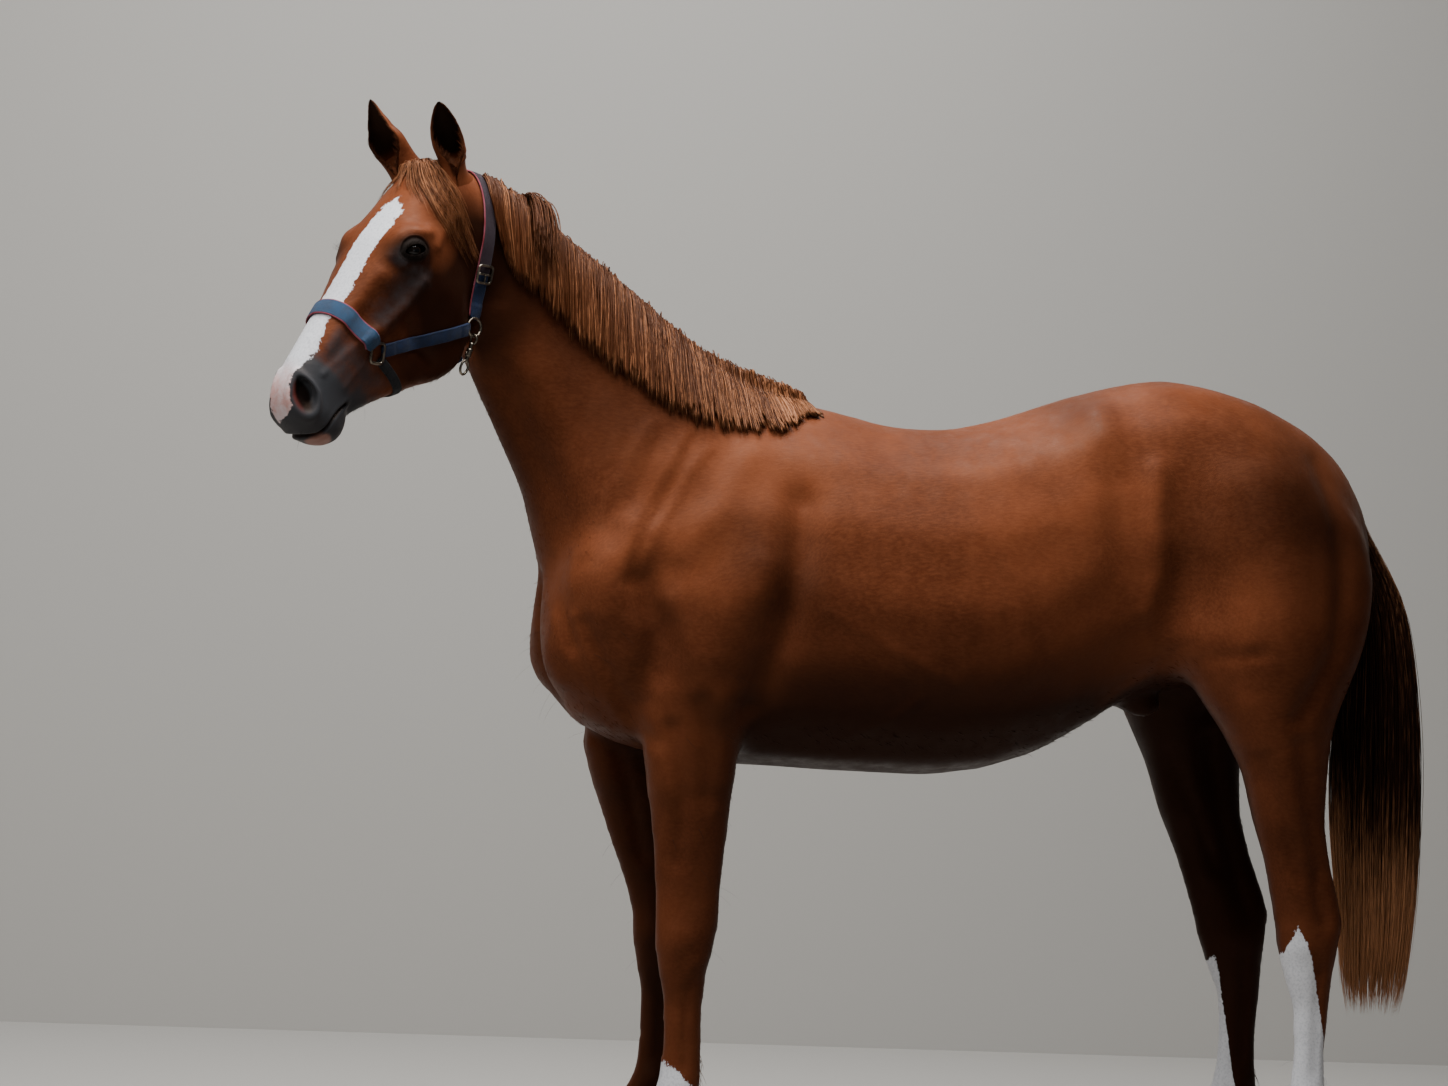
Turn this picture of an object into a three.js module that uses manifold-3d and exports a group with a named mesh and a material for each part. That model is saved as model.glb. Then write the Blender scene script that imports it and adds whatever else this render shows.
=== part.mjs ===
// A young warmblood horse standing with its head turned to its left, in a webbing halter.
// It faces -Y, its left side is +X, and +Z is up. Lengths are in millimetres, angles in degrees.
import * as THREE from 'three';
import { mergeVertices } from 'three/addons/utils/BufferGeometryUtils.js';
import Module from 'manifold-3d';

const wasm = await Module();
wasm.setup();
const radians = THREE.MathUtils.degToRad;
const vector = (x, y, z) => new THREE.Vector3(x, y, z);

// ---- driving dimensions -------------------------------------------------------------------------
const BODY_AROUND = 16; // corners of a section of the trunk or neck
const HEAD_AROUND = 18;
const LEG_AROUND = 12;
const EAR_AROUND = 10;
const TAIL_AROUND = 12;
const HOOF_AROUND = 16;
const BALL_FACETS = [9, 6]; // around and from pole to pole
const EYE_FACETS = [12, 8];
const CUT = 0.35; // gap between two neighbouring pieces
const HUGE = 4000; // a block larger than the animal
const FLOOR = -10; // the leg zones start below the ground

const ELBOW_CUT_Z = 848; // a foreleg is parted from the trunk here
const ELBOW_CUT_Y = 150;
const STIFLE_CUT_Z = 1000; // a hind leg is parted from the trunk here
const STIFLE_CUT_Y = 860;
const GROIN = 45; // the sheath between the thighs stays with the trunk

// The head has its own frame: along from the poll to the muzzle, side to its left, face outward.
const HEAD_AT = vector(178, -682, 2007);
const HEAD_YAW = 36;
const HEAD_PITCH = 53.5;
const HEAD_ROLL = 0;

const EYE_RADIUS = 21;
const EYE_ALONG = 193;
const EYE_SIDE = 86;
const EYE_FACE = -57;

const EAR_WIDTH = 32; // half the ear's greatest width
const EAR_WALL = 6;

// How far the toe and the heel run forward from the coronet to the ground, and the sides spread.
const FORE_HOOF = { slope: 46, heelSlope: 8, spread: 17 };
const HIND_HOOF = { slope: 40, heelSlope: 6, spread: 14 };
const STRAP_THICK = 4;
const STRAP_WIDTH = 26;
const NOSEBAND_WIDTH = 34;
const RING_RADIUS = 21;
const RING_WIRE = 3.2;
const JAW_RING_SIDE = 84;
const NOSE_RING_SIDE = 74;
const STRAP_END = 30; // from a ring's middle to where the strap's hugging length ends
const BUCKLE_LENGTH = 36;
const BUCKLE_WIDTH = 38;
const BUCKLE_BAR = 5.5;
const MANE_THICK = 13;

// ---- colours ------------------------------------------------------------------------------------
const material = (color, roughness, metalness = 0) => (
  new THREE.MeshStandardMaterial({ color, roughness, metalness, flatShading: true })
);
const COAT = material('#7a3f22', 0.55);
const MANE_HAIR = material('#8a5234', 0.6);
const TAIL_HAIR = material('#33201a', 0.6);
const HORN = material('#6b5c4d', 0.5);
const EYE = material('#140d0a', 0.05);
const WEBBING = material('#22365e', 0.85);
const STEEL = material('#9a9894', 0.3, 0.9);

// ---- solids from sections -----------------------------------------------------------------------
function solid(positions, triangles) {
  const vertProperties = new Float32Array(positions);
  const triVerts = new Uint32Array(triangles);
  return new wasm.Manifold(new wasm.Mesh({ numProp: 3, vertProperties, triVerts }));
}

function solidOf(geometry, place = new THREE.Matrix4()) {
  const bare = geometry.clone();
  bare.deleteAttribute('normal');
  bare.deleteAttribute('uv');
  const merged = mergeVertices(bare.applyMatrix4(place), 1e-3);
  return solid(merged.attributes.position.array, merged.index.array);
}

// One section: an oval from bottom to top, widest at a share of its height. Pinch 1 is an ellipse,
// more makes a ridge, less makes it square.
function ring({ top, bottom, side, half, widest, pinchTop, pinchBottom }, around, grow) {
  const up = top.clone().sub(bottom);
  const height = up.length();
  up.normalize();
  const centre = bottom.clone().addScaledVector(up, widest * height);
  const points = [];
  for (let i = 0; i < around; i += 1) {
    const angle = (i / around) * 2 * Math.PI;
    const c = Math.cos(angle);
    const s = Math.sin(angle);
    const pinch = s > 0 ? pinchTop : pinchBottom;
    const reach = s > 0 ? (1 - widest) * height + grow : widest * height + grow;
    const out = (half + grow) * Math.sign(c) * Math.abs(c) ** pinch;
    points.push(centre.clone().addScaledVector(side, out).addScaledVector(up, reach * s));
  }
  return points;
}

function volume(positions, triangles) {
  let sum = 0;
  for (let i = 0; i < triangles.length; i += 3) {
    const [a, b, c] = [0, 1, 2].map((k) => vector(...positions.slice(3 * triangles[i + k], 3 * triangles[i + k] + 3)));
    sum += a.dot(b.cross(c));
  }
  return sum;
}

// Rings of equal length become one closed body with flat ends.
function skinOver(rings) {
  const around = rings[0].length;
  const positions = rings.flat().flatMap((p) => [p.x, p.y, p.z]);
  const triangles = [];
  for (let row = 0; row + 1 < rings.length; row += 1) {
    for (let i = 0; i < around; i += 1) {
      const a = row * around + i;
      const b = row * around + ((i + 1) % around);
      triangles.push(a, b, b + around, a, b + around, a + around);
    }
  }
  [[rings[0], 0, 1], [rings.at(-1), (rings.length - 1) * around, -1]].forEach(([end, first, turn]) => {
    const middle = end.reduce((sum, p) => sum.add(p), vector(0, 0, 0)).divideScalar(around);
    const index = positions.length / 3;
    positions.push(middle.x, middle.y, middle.z);
    for (let i = 0; i < around; i += 1) {
      const pair = [first + i, first + ((i + 1) % around)];
      triangles.push(index, pair[turn > 0 ? 1 : 0], pair[turn > 0 ? 0 : 1]);
    }
  });
  if (volume(positions, triangles) < 0) triangles.reverse();
  return solid(positions, triangles);
}

// A body through its sections, grown on every side where it has to cover another.
function loft(sections, around, grow = 0) {
  const rings = sections.map((section) => ring(section, around, grow));
  const middleOf = ({ top, bottom }) => top.clone().add(bottom).multiplyScalar(0.5);
  [[0, 1], [sections.length - 1, sections.length - 2]].forEach(([end, next]) => {
    const outward = middleOf(sections[end]).sub(middleOf(sections[next])).setLength(grow);
    rings[end].forEach((point) => point.add(outward));
  });
  return skinOver(rings);
}

function ellipsoid(at, radii, turn = 0, grow = 0) {
  const place = new THREE.Matrix4().makeTranslation(...at);
  place.multiply(new THREE.Matrix4().makeRotationX(radians(turn)));
  place.multiply(new THREE.Matrix4().makeScale(...radii.map((r) => r + grow)));
  return solidOf(new THREE.SphereGeometry(1, ...BALL_FACETS), place);
}

const join = (solids) => solids.reduce((sum, next) => sum.add(next));

function block(x0, x1, y0, y1, z0, z1) {
  const place = new THREE.Matrix4().makeTranslation((x0 + x1) / 2, (y0 + y1) / 2, (z0 + z1) / 2);
  return solidOf(new THREE.BoxGeometry(x1 - x0, y1 - y0, z1 - z0), place);
}

// A slab across the body between two planes with one normal.
function slab(at, normal, from, to) {
  const turn = new THREE.Quaternion().setFromUnitVectors(vector(0, 0, 1), normal.clone().normalize());
  const middle = at.clone().addScaledVector(normal.clone().normalize(), (from + to) / 2);
  const place = new THREE.Matrix4().compose(middle, turn, vector(1, 1, 1));
  return solidOf(new THREE.BoxGeometry(HUGE, HUGE, to - from), place);
}

// ---- trunk --------------------------------------------------------------------------------------
// [place along y, top, bottom, half width, height of the widest part, pinch of the back, of the belly]
const TRUNK = [
  [-373, 1200, 1092, 62, 1141, 1, 1],
  [-342, 1330, 992, 150, 1151, 1, 1],
  [-288, 1420, 930, 195, 1151, 1, 0.9],
  [-199, 1500, 888, 224, 1171, 1.1, 0.9],
  [-100, 1557, 867, 234, 1190, 1.25, 0.9],
  [0, 1597, 857, 240, 1200, 1.35, 0.92],
  [120, 1598, 855, 252, 1200, 1.35, 0.92],
  [211, 1580, 852, 264, 1200, 1.2, 0.92],
  [322, 1558, 851, 278, 1194, 1.1, 0.92],
  [434, 1558, 851, 287, 1189, 1.0, 0.92],
  [547, 1586, 868, 283, 1204, 0.96, 0.92],
  [649, 1624, 902, 268, 1244, 0.92, 0.92],
  [753, 1657, 958, 252, 1300, 0.85, 0.92],
  [815, 1674, 999, 250, 1331, 0.82, 0.92],
  [887, 1685, 1045, 256, 1351, 0.85, 0.9],
  [981, 1675, 1065, 262, 1341, 0.9, 0.9],
  [1086, 1649, 1064, 252, 1331, 0.94, 0.9],
  [1191, 1600, 1074, 216, 1321, 1, 0.95],
  [1265, 1540, 1105, 165, 1310, 1, 1],
  [1323, 1454, 1166, 95, 1300, 1, 1],
  [1345, 1382, 1228, 45, 1300, 1, 1],
];

const trunkSection = ([y, high, low, half, widestAt, pinchTop, pinchBottom]) => ({
  top: vector(0, y, high),
  bottom: vector(0, y, low),
  side: vector(1, 0, 0),
  half,
  widest: (widestAt - low) / (high - low),
  pinchTop,
  pinchBottom,
});

// Soft masses that stand out of the barrel, on the left side: [centre, radii, turn about x].
const MASSES = [
  [[88, -308, 1120], [80, 62, 140], -8], // breast muscle
  [[140, -262, 1205], [74, 84, 120], 0], // point of the shoulder
  [[150, -60, 1030], [72, 130, 120], 20], // upper arm and elbow
];
const SHEATH = [[0, 850, 1030], [40, 82, 58], -24];

function barrel(grow) {
  const parts = [loft(TRUNK.map(trunkSection), BODY_AROUND, grow)];
  MASSES.forEach(([[x, y, z], radii, turn]) => {
    parts.push(ellipsoid([x, y, z], radii, turn, grow), ellipsoid([-x, y, z], radii, turn, grow));
  });
  parts.push(ellipsoid(...SHEATH, grow));
  return join(parts);
}

// ---- neck ---------------------------------------------------------------------------------------
// [crest y, z and x, underside y, z and x, half width, turn to the left, place of the widest part,
// pinch of the crest, of the underside]
const NECK = [
  [140, 1590, 0, -20, 1000, 0, 200, 0, 0.42, 1.35, 0.9],
  [40, 1614, 0, -199, 981, 0, 205, 0, 0.42, 1.35, 0.9],
  [-60, 1667, 0, -334, 1082, 0, 186, 0, 0.42, 1.3, 0.9],
  [-151, 1732, 7, -376, 1241, 12, 150, 4, 0.42, 1.3, 0.9],
  [-244, 1808, 21, -412, 1369, 28, 119, 9, 0.43, 1.3, 0.9],
  [-336, 1872, 42, -456, 1457, 47, 101, 15, 0.45, 1.3, 0.9],
  [-423, 1932, 69, -498, 1535, 66, 90, 21, 0.48, 1.25, 0.95],
  [-495, 1970, 98, -533, 1602, 85, 84, 27, 0.52, 1.2, 1],
  [-561, 1996, 128, -566, 1655, 106, 80, 32, 0.58, 1.1, 1],
  [-621, 1982, 160, -625, 1707, 134, 62, 36, 0.6, 1, 1],
];

function neckSection(row) {
  const [crestY, crestZ, crestX, underY, underZ, underX, half, turn, widest, pinchTop, pinchBottom] = row;
  return {
    top: vector(crestX, crestY, crestZ),
    bottom: vector(underX, underY, underZ),
    side: vector(Math.cos(radians(turn)), Math.sin(radians(turn)), 0),
    half,
    widest,
    pinchTop,
    pinchBottom,
  };
}

const neckLoft = (grow) => loft(NECK.map(neckSection), BODY_AROUND, grow);

// ---- head ---------------------------------------------------------------------------------------
const level = vector(Math.sin(radians(HEAD_YAW)), -Math.cos(radians(HEAD_YAW)), 0);
const ALONG = level.clone().multiplyScalar(Math.cos(radians(HEAD_PITCH)));
ALONG.z -= Math.sin(radians(HEAD_PITCH));
const flatSide = vector(Math.cos(radians(HEAD_YAW)), Math.sin(radians(HEAD_YAW)), 0);
const flatFace = new THREE.Vector3().crossVectors(ALONG, flatSide);
const SIDE = flatSide.clone().applyAxisAngle(ALONG, radians(HEAD_ROLL));
const FACE = flatFace.clone().applyAxisAngle(ALONG, radians(HEAD_ROLL));

function onHead(along, side, face) {
  const point = HEAD_AT.clone().addScaledVector(ALONG, along);
  return point.addScaledVector(SIDE, side).addScaledVector(FACE, face);
}

// [along, face line, jaw line, half width, place of the widest part, pinch of the face, of the jaw]
const HEAD = [
  [-52, -72, -150, 36, -112, 1, 1],
  [-30, -40, -190, 62, -110, 1, 1],
  [20, -12, -205, 82, -100, 1, 1],
  [80, -5, -232, 92, -82, 0.95, 0.85],
  [140, -3, -274, 98, -70, 0.85, 0.7],
  [200, -3, -312, 101, -60, 0.8, 0.55],
  [255, -8, -326, 92, -72, 0.8, 0.5],
  [300, -10, -312, 82, -82, 0.8, 0.5],
  [350, -12, -276, 73, -88, 0.85, 0.55],
  [400, -11, -242, 65, -90, 0.85, 0.62],
  [450, -12, -211, 58, -90, 0.85, 0.7],
  [500, -14, -186, 55, -88, 0.85, 0.8],
  [540, -19, -193, 57, -90, 0.85, 0.85],
  [566, -28, -190, 57, -92, 0.85, 0.9],
  [586, -44, -174, 50, -96, 0.9, 1],
  [599, -62, -150, 37, -102, 0.95, 1],
  [606, -82, -126, 19, -104, 1, 1],
];

const headSection = ([along, high, low, half, widestAt, pinchTop, pinchBottom]) => ({
  top: onHead(along, 0, high),
  bottom: onHead(along, 0, low),
  side: SIDE,
  half,
  widest: (widestAt - low) / (high - low),
  pinchTop,
  pinchBottom,
});

const headLoft = (grow) => loft(HEAD.map(headSection), HEAD_AROUND, grow);

// ---- legs ---------------------------------------------------------------------------------------
// [height, front, rear, inner side, outer side, rise of the section's front]
const HIND_LEG = [
  [1560, 930, 1137, 20, 160, 0],
  [1503, 865, 1190, 5, 235, 0],
  [1401, 843, 1288, 2, 262, 0],
  [1300, 863, 1318, 2, 275, 0],
  [1199, 888, 1312, 2, 280, 0],
  [1118, 904, 1291, 8, 275, 0],
  [1047, 949, 1260, 30, 262, 0],
  [977, 1005, 1238, 55, 245, 0],
  [896, 1052, 1233, 75, 225, 0],
  [795, 1083, 1234, 85, 205, 0],
  [713, 1110, 1251, 95, 190, 0],
  [647, 1126, 1272, 99, 180, 0],
  [596, 1138, 1285, 98, 178, 0],
  [542, 1148, 1277, 92, 180, 0],
  [487, 1164, 1268, 98, 175, 0],
  [421, 1188, 1263, 107, 166, 0],
  [335, 1193, 1258, 110, 163, 0],
  [268, 1190, 1262, 108, 166, 0],
  [222, 1181, 1266, 101, 172, 10],
  [165, 1156, 1227, 106, 167, 26],
  [120, 1135, 1210, 100, 173, 34],
  [78, 1104, 1197, 92, 180, 38],
];

const FORE_LEG = [
  [1123, -245, 59, 70, 210, 0],
  [1034, -211, 51, 55, 214, 0],
  [945, -175, 35, 60, 206, 0],
  [886, -169, 26, 70, 200, 0],
  [807, -156, 17, 76, 190, 0],
  [709, -141, 9, 86, 180, 0],
  [611, -131, 2, 92, 172, 0],
  [550, -128, 2, 89, 172, 0],
  [500, -125, -6, 85, 173, 0],
  [450, -115, -18, 89, 169, 0],
  [390, -102, -22, 99, 159, 0],
  [300, -100, -21, 100, 158, 0],
  [250, -104, -19, 98, 160, 0],
  [218, -110, -22, 94, 164, 8],
  [168, -132, -61, 98, 160, 26],
  [124, -155, -83, 92, 166, 34],
  [82, -188, -95, 84, 174, 40],
];

const LEG_WIDEST = 0.5;

// The right hind leg stands further forward, and the right foreleg's upper part is brought forward:
// [height, shift of the front, shift of the rear].
const HIND_SHIFT = [
  [430, -72, -56], [600, -88, -66], [850, -116, -88], [980, -104, -86], [1080, -76, -70], [1200, -32, -32],
  [1350, 0, 0],
];
const FORE_SHIFT = [
  [550, 0, 0], [620, -18, -12], [710, -46, -38], [800, -66, -56], [900, -78, -66], [1000, -60, -56],
  [1150, -20, -20],
];

function shiftAt(table, z) {
  if (!table) return [0, 0];
  const upper = table.findIndex(([height]) => height > z);
  if (upper === 0) return table[0].slice(1);
  if (upper < 0) return table.at(-1).slice(1);
  const [below, above] = [table[upper - 1], table[upper]];
  const share = (z - below[0]) / (above[0] - below[0]);
  return [1, 2].map((edge) => below[edge] + (above[edge] - below[edge]) * share);
}

function legSection([z, front, rear, inner, outer, rise], hand, shift) {
  const x = (hand * (inner + outer)) / 2;
  const [frontShift, rearShift] = shiftAt(shift, z);
  return {
    top: vector(x, front + frontShift, z + rise / 2),
    bottom: vector(x, rear + rearShift, z - rise / 2),
    side: vector(1, 0, 0),
    half: (outer - inner) / 2,
    widest: LEG_WIDEST,
    pinchTop: 0.9,
    pinchBottom: 0.9,
  };
}

const LEGS = [
  { name: 'foreleg_left', table: FORE_LEG, hand: 1, shift: null, fore: true },
  { name: 'foreleg_right', table: FORE_LEG, hand: -1, shift: FORE_SHIFT, fore: true },
  { name: 'hindleg_left', table: HIND_LEG, hand: 1, shift: null, fore: false },
  { name: 'hindleg_right', table: HIND_LEG, hand: -1, shift: HIND_SHIFT, fore: false },
];

const legLoft = ({ table, hand, shift }, grow) => (
  loft(table.map((row) => legSection(row, hand, shift)), LEG_AROUND, grow)
);

// A hoof: the horn spreads from the coronet to a flat bearing edge, with a notch between the heels.
function hoof({ table, hand, shift, fore }) {
  const [z, frontLine, rearLine, inner, outer, rise] = table.at(-1);
  const [frontShift, rearShift] = shiftAt(shift, z);
  const [front, rear] = [frontLine + frontShift, rearLine + rearShift];
  const x = (hand * (inner + outer)) / 2;
  const half = (outer - inner) / 2;
  const { slope, heelSlope, spread } = fore ? FORE_HOOF : HIND_HOOF;
  const rows = [
    [front, rear, z + rise / 2 - CUT, z - rise / 2 - CUT, half + 2],
    [front - 7, rear, z + rise / 2 - 12, z - rise / 2 - 6, half + 4],
    [front - slope, rear - heelSlope, 0, 0, half + spread],
  ];
  const rings = rows.map(([y0, y1, z0, z1, width]) => ring({
    top: vector(x, y0, z0),
    bottom: vector(x, y1, z1),
    side: vector(1, 0, 0),
    half: width,
    widest: 0.45,
    pinchTop: 0.85,
    pinchBottom: 0.6,
  }, HOOF_AROUND, 0));
  const notch = ellipsoid([x, rear - heelSlope + 4, 0], [12, 40, 20]);
  return skinOver(rings).subtract(notch);
}

// ---- ears ---------------------------------------------------------------------------------------
// [share of the length, share of the half width, depth of the cup]
const EAR = [
  [-0.14, 0.62, 30],
  [0.05, 0.8, 34],
  [0.22, 1, 34],
  [0.4, 0.98, 30],
  [0.6, 0.8, 24],
  [0.8, 0.5, 17],
  [0.93, 0.24, 10],
  [1, 0.07, 5],
];

// Where each ear springs and ends, and which way it opens, as [along, side, face] on the head.
const EARS = [
  { name: 'ear_left', base: [-26, 58, -52], tip: [-77, 76, 68], opens: [0.5, 0.85, 0] },
  { name: 'ear_right', base: [-10, -62, -22], tip: [-64, -80, 104], opens: [0.95, 0.15, 0] },
];

function ear({ base, tip, opens }) {
  const root = onHead(...base);
  const axis = onHead(...tip).sub(root);
  const length = axis.length();
  axis.normalize();
  const opening = onHead(...opens).sub(HEAD_AT);
  opening.addScaledVector(axis, -opening.dot(axis)).normalize();
  const across = new THREE.Vector3().crossVectors(axis, opening);
  const shape = (inset, forward, from) => EAR.filter(([share]) => share > from).map(([share, width, depth]) => {
    const centre = root.clone().addScaledVector(axis, share * length - inset);
    centre.addScaledVector(opening, forward);
    return {
      top: centre.clone().addScaledVector(opening, depth * 0.55),
      bottom: centre.clone().addScaledVector(opening, -depth * 0.55),
      side: across,
      half: Math.max(width * EAR_WIDTH - inset, 1.2),
      widest: 0.55,
      pinchTop: 1,
      pinchBottom: 1,
    };
  });
  const hollow = loft(shape(EAR_WALL, 2 * EAR_WALL, 0.1), EAR_AROUND, -1);
  return loft(shape(0, 0, -1), EAR_AROUND).subtract(hollow);
}

// ---- lines of the halter ------------------------------------------------------------------------
// The ring behind the jaw and the ring beside the nose, as [along, face] on the head.
const JAW_RING = [192, -276];
const NOSE_RING = [389, -122];
const NOSE_TOP = [374, -16];
const CHIN_UNDER = [392, -240];
const JOWL_UNDER = [268, -338];
const CROWN = [-112, -76];
const BUCKLE_AT = [103, 93, -217]; // on the outside of the crownpiece: [along, side, face]
const BUCKLE_OUT = [0.39, 0.88, 0.28];

const onSide = ([along, face], side) => onHead(along, side, face);

// ---- hair ---------------------------------------------------------------------------------------
const sheet = (points, depth) => new THREE.ExtrudeGeometry(
  new THREE.Shape(points.map(([x, y]) => new THREE.Vector2(x, y))),
  { depth, bevelEnabled: false },
);

// The mane lies on the left of the neck, from the crest to an even lower edge.
const MANE_SIDE = [
  [-660, 2120], [-380, 2120], [100, 1900], [200, 1640], [160, 1572], [82, 1513], [-96, 1523],
  [-216, 1575], [-298, 1639], [-391, 1751], [-466, 1863], [-540, 1935],
];
const MANE_RIGHT_EDGE = [[170, -16], [-60, -16], [-244, 6], [-423, 52], [-561, 110], [-660, 165]];

const MANE_TUFT = [[62, -382, 1904], [30, 85, 38], -35]; // where the hair stands up off the crest

function mane(flesh) {
  const start = onSide(JAW_RING, 0);
  const behindCrown = new THREE.Vector3().crossVectors(onSide(CROWN, 0).sub(start), SIDE);
  const rear = slab(start, behindCrown, STRAP_WIDTH / 2 + CUT, HUGE);
  const side = sheet(MANE_SIDE, HUGE);
  const toSide = new THREE.Matrix4().makeBasis(vector(0, 1, 0), vector(0, 0, 1), vector(1, 0, 0));
  const plan = sheet([...MANE_RIGHT_EDGE.map(([y, x]) => [x, y]), [600, -640], [600, 170]], HUGE);
  const hair = join([neckLoft(MANE_THICK), ellipsoid(...MANE_TUFT)]);
  const over = hair.intersect(solidOf(side, toSide.setPosition(-HUGE / 2, 0, 0)));
  return over.intersect(solidOf(plan)).intersect(rear).subtract(flesh);
}

// The forelock falls from between the ears over the left temple: [along, side, face, half width].
const FORELOCK = [
  [-14, -18, 6, 22],
  [14, 22, -6, 36],
  [40, 62, -34, 37],
  [64, 88, -82, 33],
  [83, 98, -132, 22],
  [93, 100, -172, 7],
];
const FORELOCK_THICK = 11;
const HEAD_MIDDLE = -100; // depth of the middle of the head under its face line

function forelock(flesh) {
  const band = FORELOCK.map(([along, side, face, half]) => {
    const out = vector(0, 0, 0).addScaledVector(SIDE, side).addScaledVector(FACE, face - HEAD_MIDDLE);
    return {
      top: onHead(along, side, face).addScaledVector(out.normalize(), 40),
      bottom: onHead(along, side, face).addScaledVector(out, -40),
      side: ALONG,
      half,
      widest: 0.5,
      pinchTop: 0.3,
      pinchBottom: 0.3,
    };
  });
  return headLoft(FORELOCK_THICK).intersect(loft(band, LEG_AROUND)).subtract(flesh);
}

// [height, front, rear, half width]
const TAIL = [
  [1545, 1252, 1292, 24],
  [1506, 1262, 1322, 34],
  [1444, 1280, 1350, 44],
  [1362, 1296, 1388, 54],
  [1238, 1305, 1436, 66],
  [1093, 1299, 1463, 78],
  [949, 1295, 1480, 82],
  [804, 1299, 1486, 80],
  [670, 1314, 1488, 70],
  [546, 1328, 1482, 58],
  [453, 1335, 1474, 44],
  [397, 1350, 1462, 26],
];

const tailLoft = () => loft(TAIL.map(([z, front, rear, half]) => ({
  top: vector(0, front, z),
  bottom: vector(0, rear, z),
  side: vector(1, 0, 0),
  half,
  widest: 0.5,
  pinchTop: 0.9,
  pinchBottom: 1,
})), TAIL_AROUND);

// The dock, the fleshy root of the tail.
const DOCK = [[1180, 1564, 42], [1244, 1530, 33], [1286, 1476, 27], [1306, 1414, 22], [1314, 1354, 14]];

const dockLoft = (grow) => loft(DOCK.map(([y, z, radius]) => ({
  top: vector(0, y + 0.8 * radius, z + 0.6 * radius),
  bottom: vector(0, y - 0.8 * radius, z - 0.6 * radius),
  side: vector(1, 0, 0),
  half: radius,
  widest: 0.5,
  pinchTop: 1,
  pinchBottom: 1,
})), LEG_AROUND, grow);

// ---- eyes ---------------------------------------------------------------------------------------
function eyeball(hand, radius) {
  const at = onHead(EYE_ALONG, hand * EYE_SIDE, EYE_FACE);
  const place = new THREE.Matrix4().makeTranslation(at.x, at.y, at.z);
  return solidOf(new THREE.SphereGeometry(radius, ...EYE_FACETS), place);
}

// ---- the animal ---------------------------------------------------------------------------------
const HEAD_CUT = { at: vector(98, -543, 1616), normal: vector(0.55, -0.83, -0.13) };
const NECK_CUT = { at: vector(0, -70, 1400), normal: vector(0, -0.80, 0.60) };

function fleshWith(grow) {
  return join([barrel(grow), neckLoft(grow), headLoft(grow), ...LEGS.map((leg) => legLoft(leg, grow))]);
}

function legZone({ hand, fore }, gap) {
  const [near, top] = fore ? [0, ELBOW_CUT_Z - gap] : [GROIN, STIFLE_CUT_Z - gap];
  const [x0, x1] = hand > 0 ? [near + gap, HUGE] : [-HUGE, -near - gap];
  return fore ? block(x0, x1, -HUGE, ELBOW_CUT_Y, FLOOR, top) : block(x0, x1, STIFLE_CUT_Y, HUGE, FLOOR, top);
}

function fleshParts(group) {
  const front = (cut, from) => slab(cut.at, cut.normal, from, HUGE);
  const behind = (cut) => slab(cut.at, cut.normal, -HUGE, 0);
  const eyes = join([1, -1].map((hand) => eyeball(hand, EYE_RADIUS + CUT)));
  const body = fleshWith(0).subtract(eyes);
  const forequarter = body.intersect(front(NECK_CUT, CUT));
  const rest = body.intersect(behind(NECK_CUT));
  const parts = {
    head: forequarter.intersect(front(HEAD_CUT, CUT)),
    neck: forequarter.intersect(behind(HEAD_CUT)),
  };
  parts.trunk = rest.subtract(join(LEGS.map((leg) => legZone(leg, 0))));
  LEGS.forEach((leg) => {
    parts[leg.name] = rest.intersect(legZone(leg, CUT));
  });
  Object.entries(parts).forEach(([name, piece]) => addPiece(group, name, piece, COAT));
}

function geometryOf(piece) {
  const { numProp, vertProperties, triVerts } = piece.getMesh();
  const geometry = new THREE.BufferGeometry();
  const count = vertProperties.length / numProp;
  const positions = new Float32Array(count * 3);
  for (let i = 0; i < count; i += 1) {
    for (let k = 0; k < 3; k += 1) positions[3 * i + k] = vertProperties[numProp * i + k];
  }
  geometry.setAttribute('position', new THREE.BufferAttribute(positions, 3));
  geometry.setIndex([...triVerts]);
  geometry.computeVertexNormals();
  return geometry;
}

function addPiece(group, name, piece, look) {
  const mesh = new THREE.Mesh(geometryOf(piece), look);
  mesh.name = name;
  group.add(mesh);
}

// ---- the halter ---------------------------------------------------------------------------------
// A strap that hugs the head: a shell of the grown surface, in the plane through two lines across it.
function strap(shell, from, to, width, spare = 0, beyond = 0) {
  const start = onSide(from, 0);
  const run = onSide(to, 0).sub(start);
  const normal = new THREE.Vector3().crossVectors(run, SIDE).normalize();
  const ends = slab(start, run.clone().normalize(), spare, run.length() + beyond);
  return shell.intersect(slab(start, normal, -width / 2, width / 2)).intersect(ends);
}

// A ring or a frame of wire lying on the side of the head.
function wireLoop([along, face], side, hand, corners) {
  const at = onHead(along, hand * side, face);
  const out = SIDE.clone().multiplyScalar(hand);
  const turn = new THREE.Quaternion().setFromUnitVectors(vector(0, 0, 1), out);
  const place = new THREE.Matrix4().compose(at, turn, vector(1, 1, 1));
  return solidOf(new THREE.TorusGeometry(RING_RADIUS, RING_WIRE, 6, corners), place);
}

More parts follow.
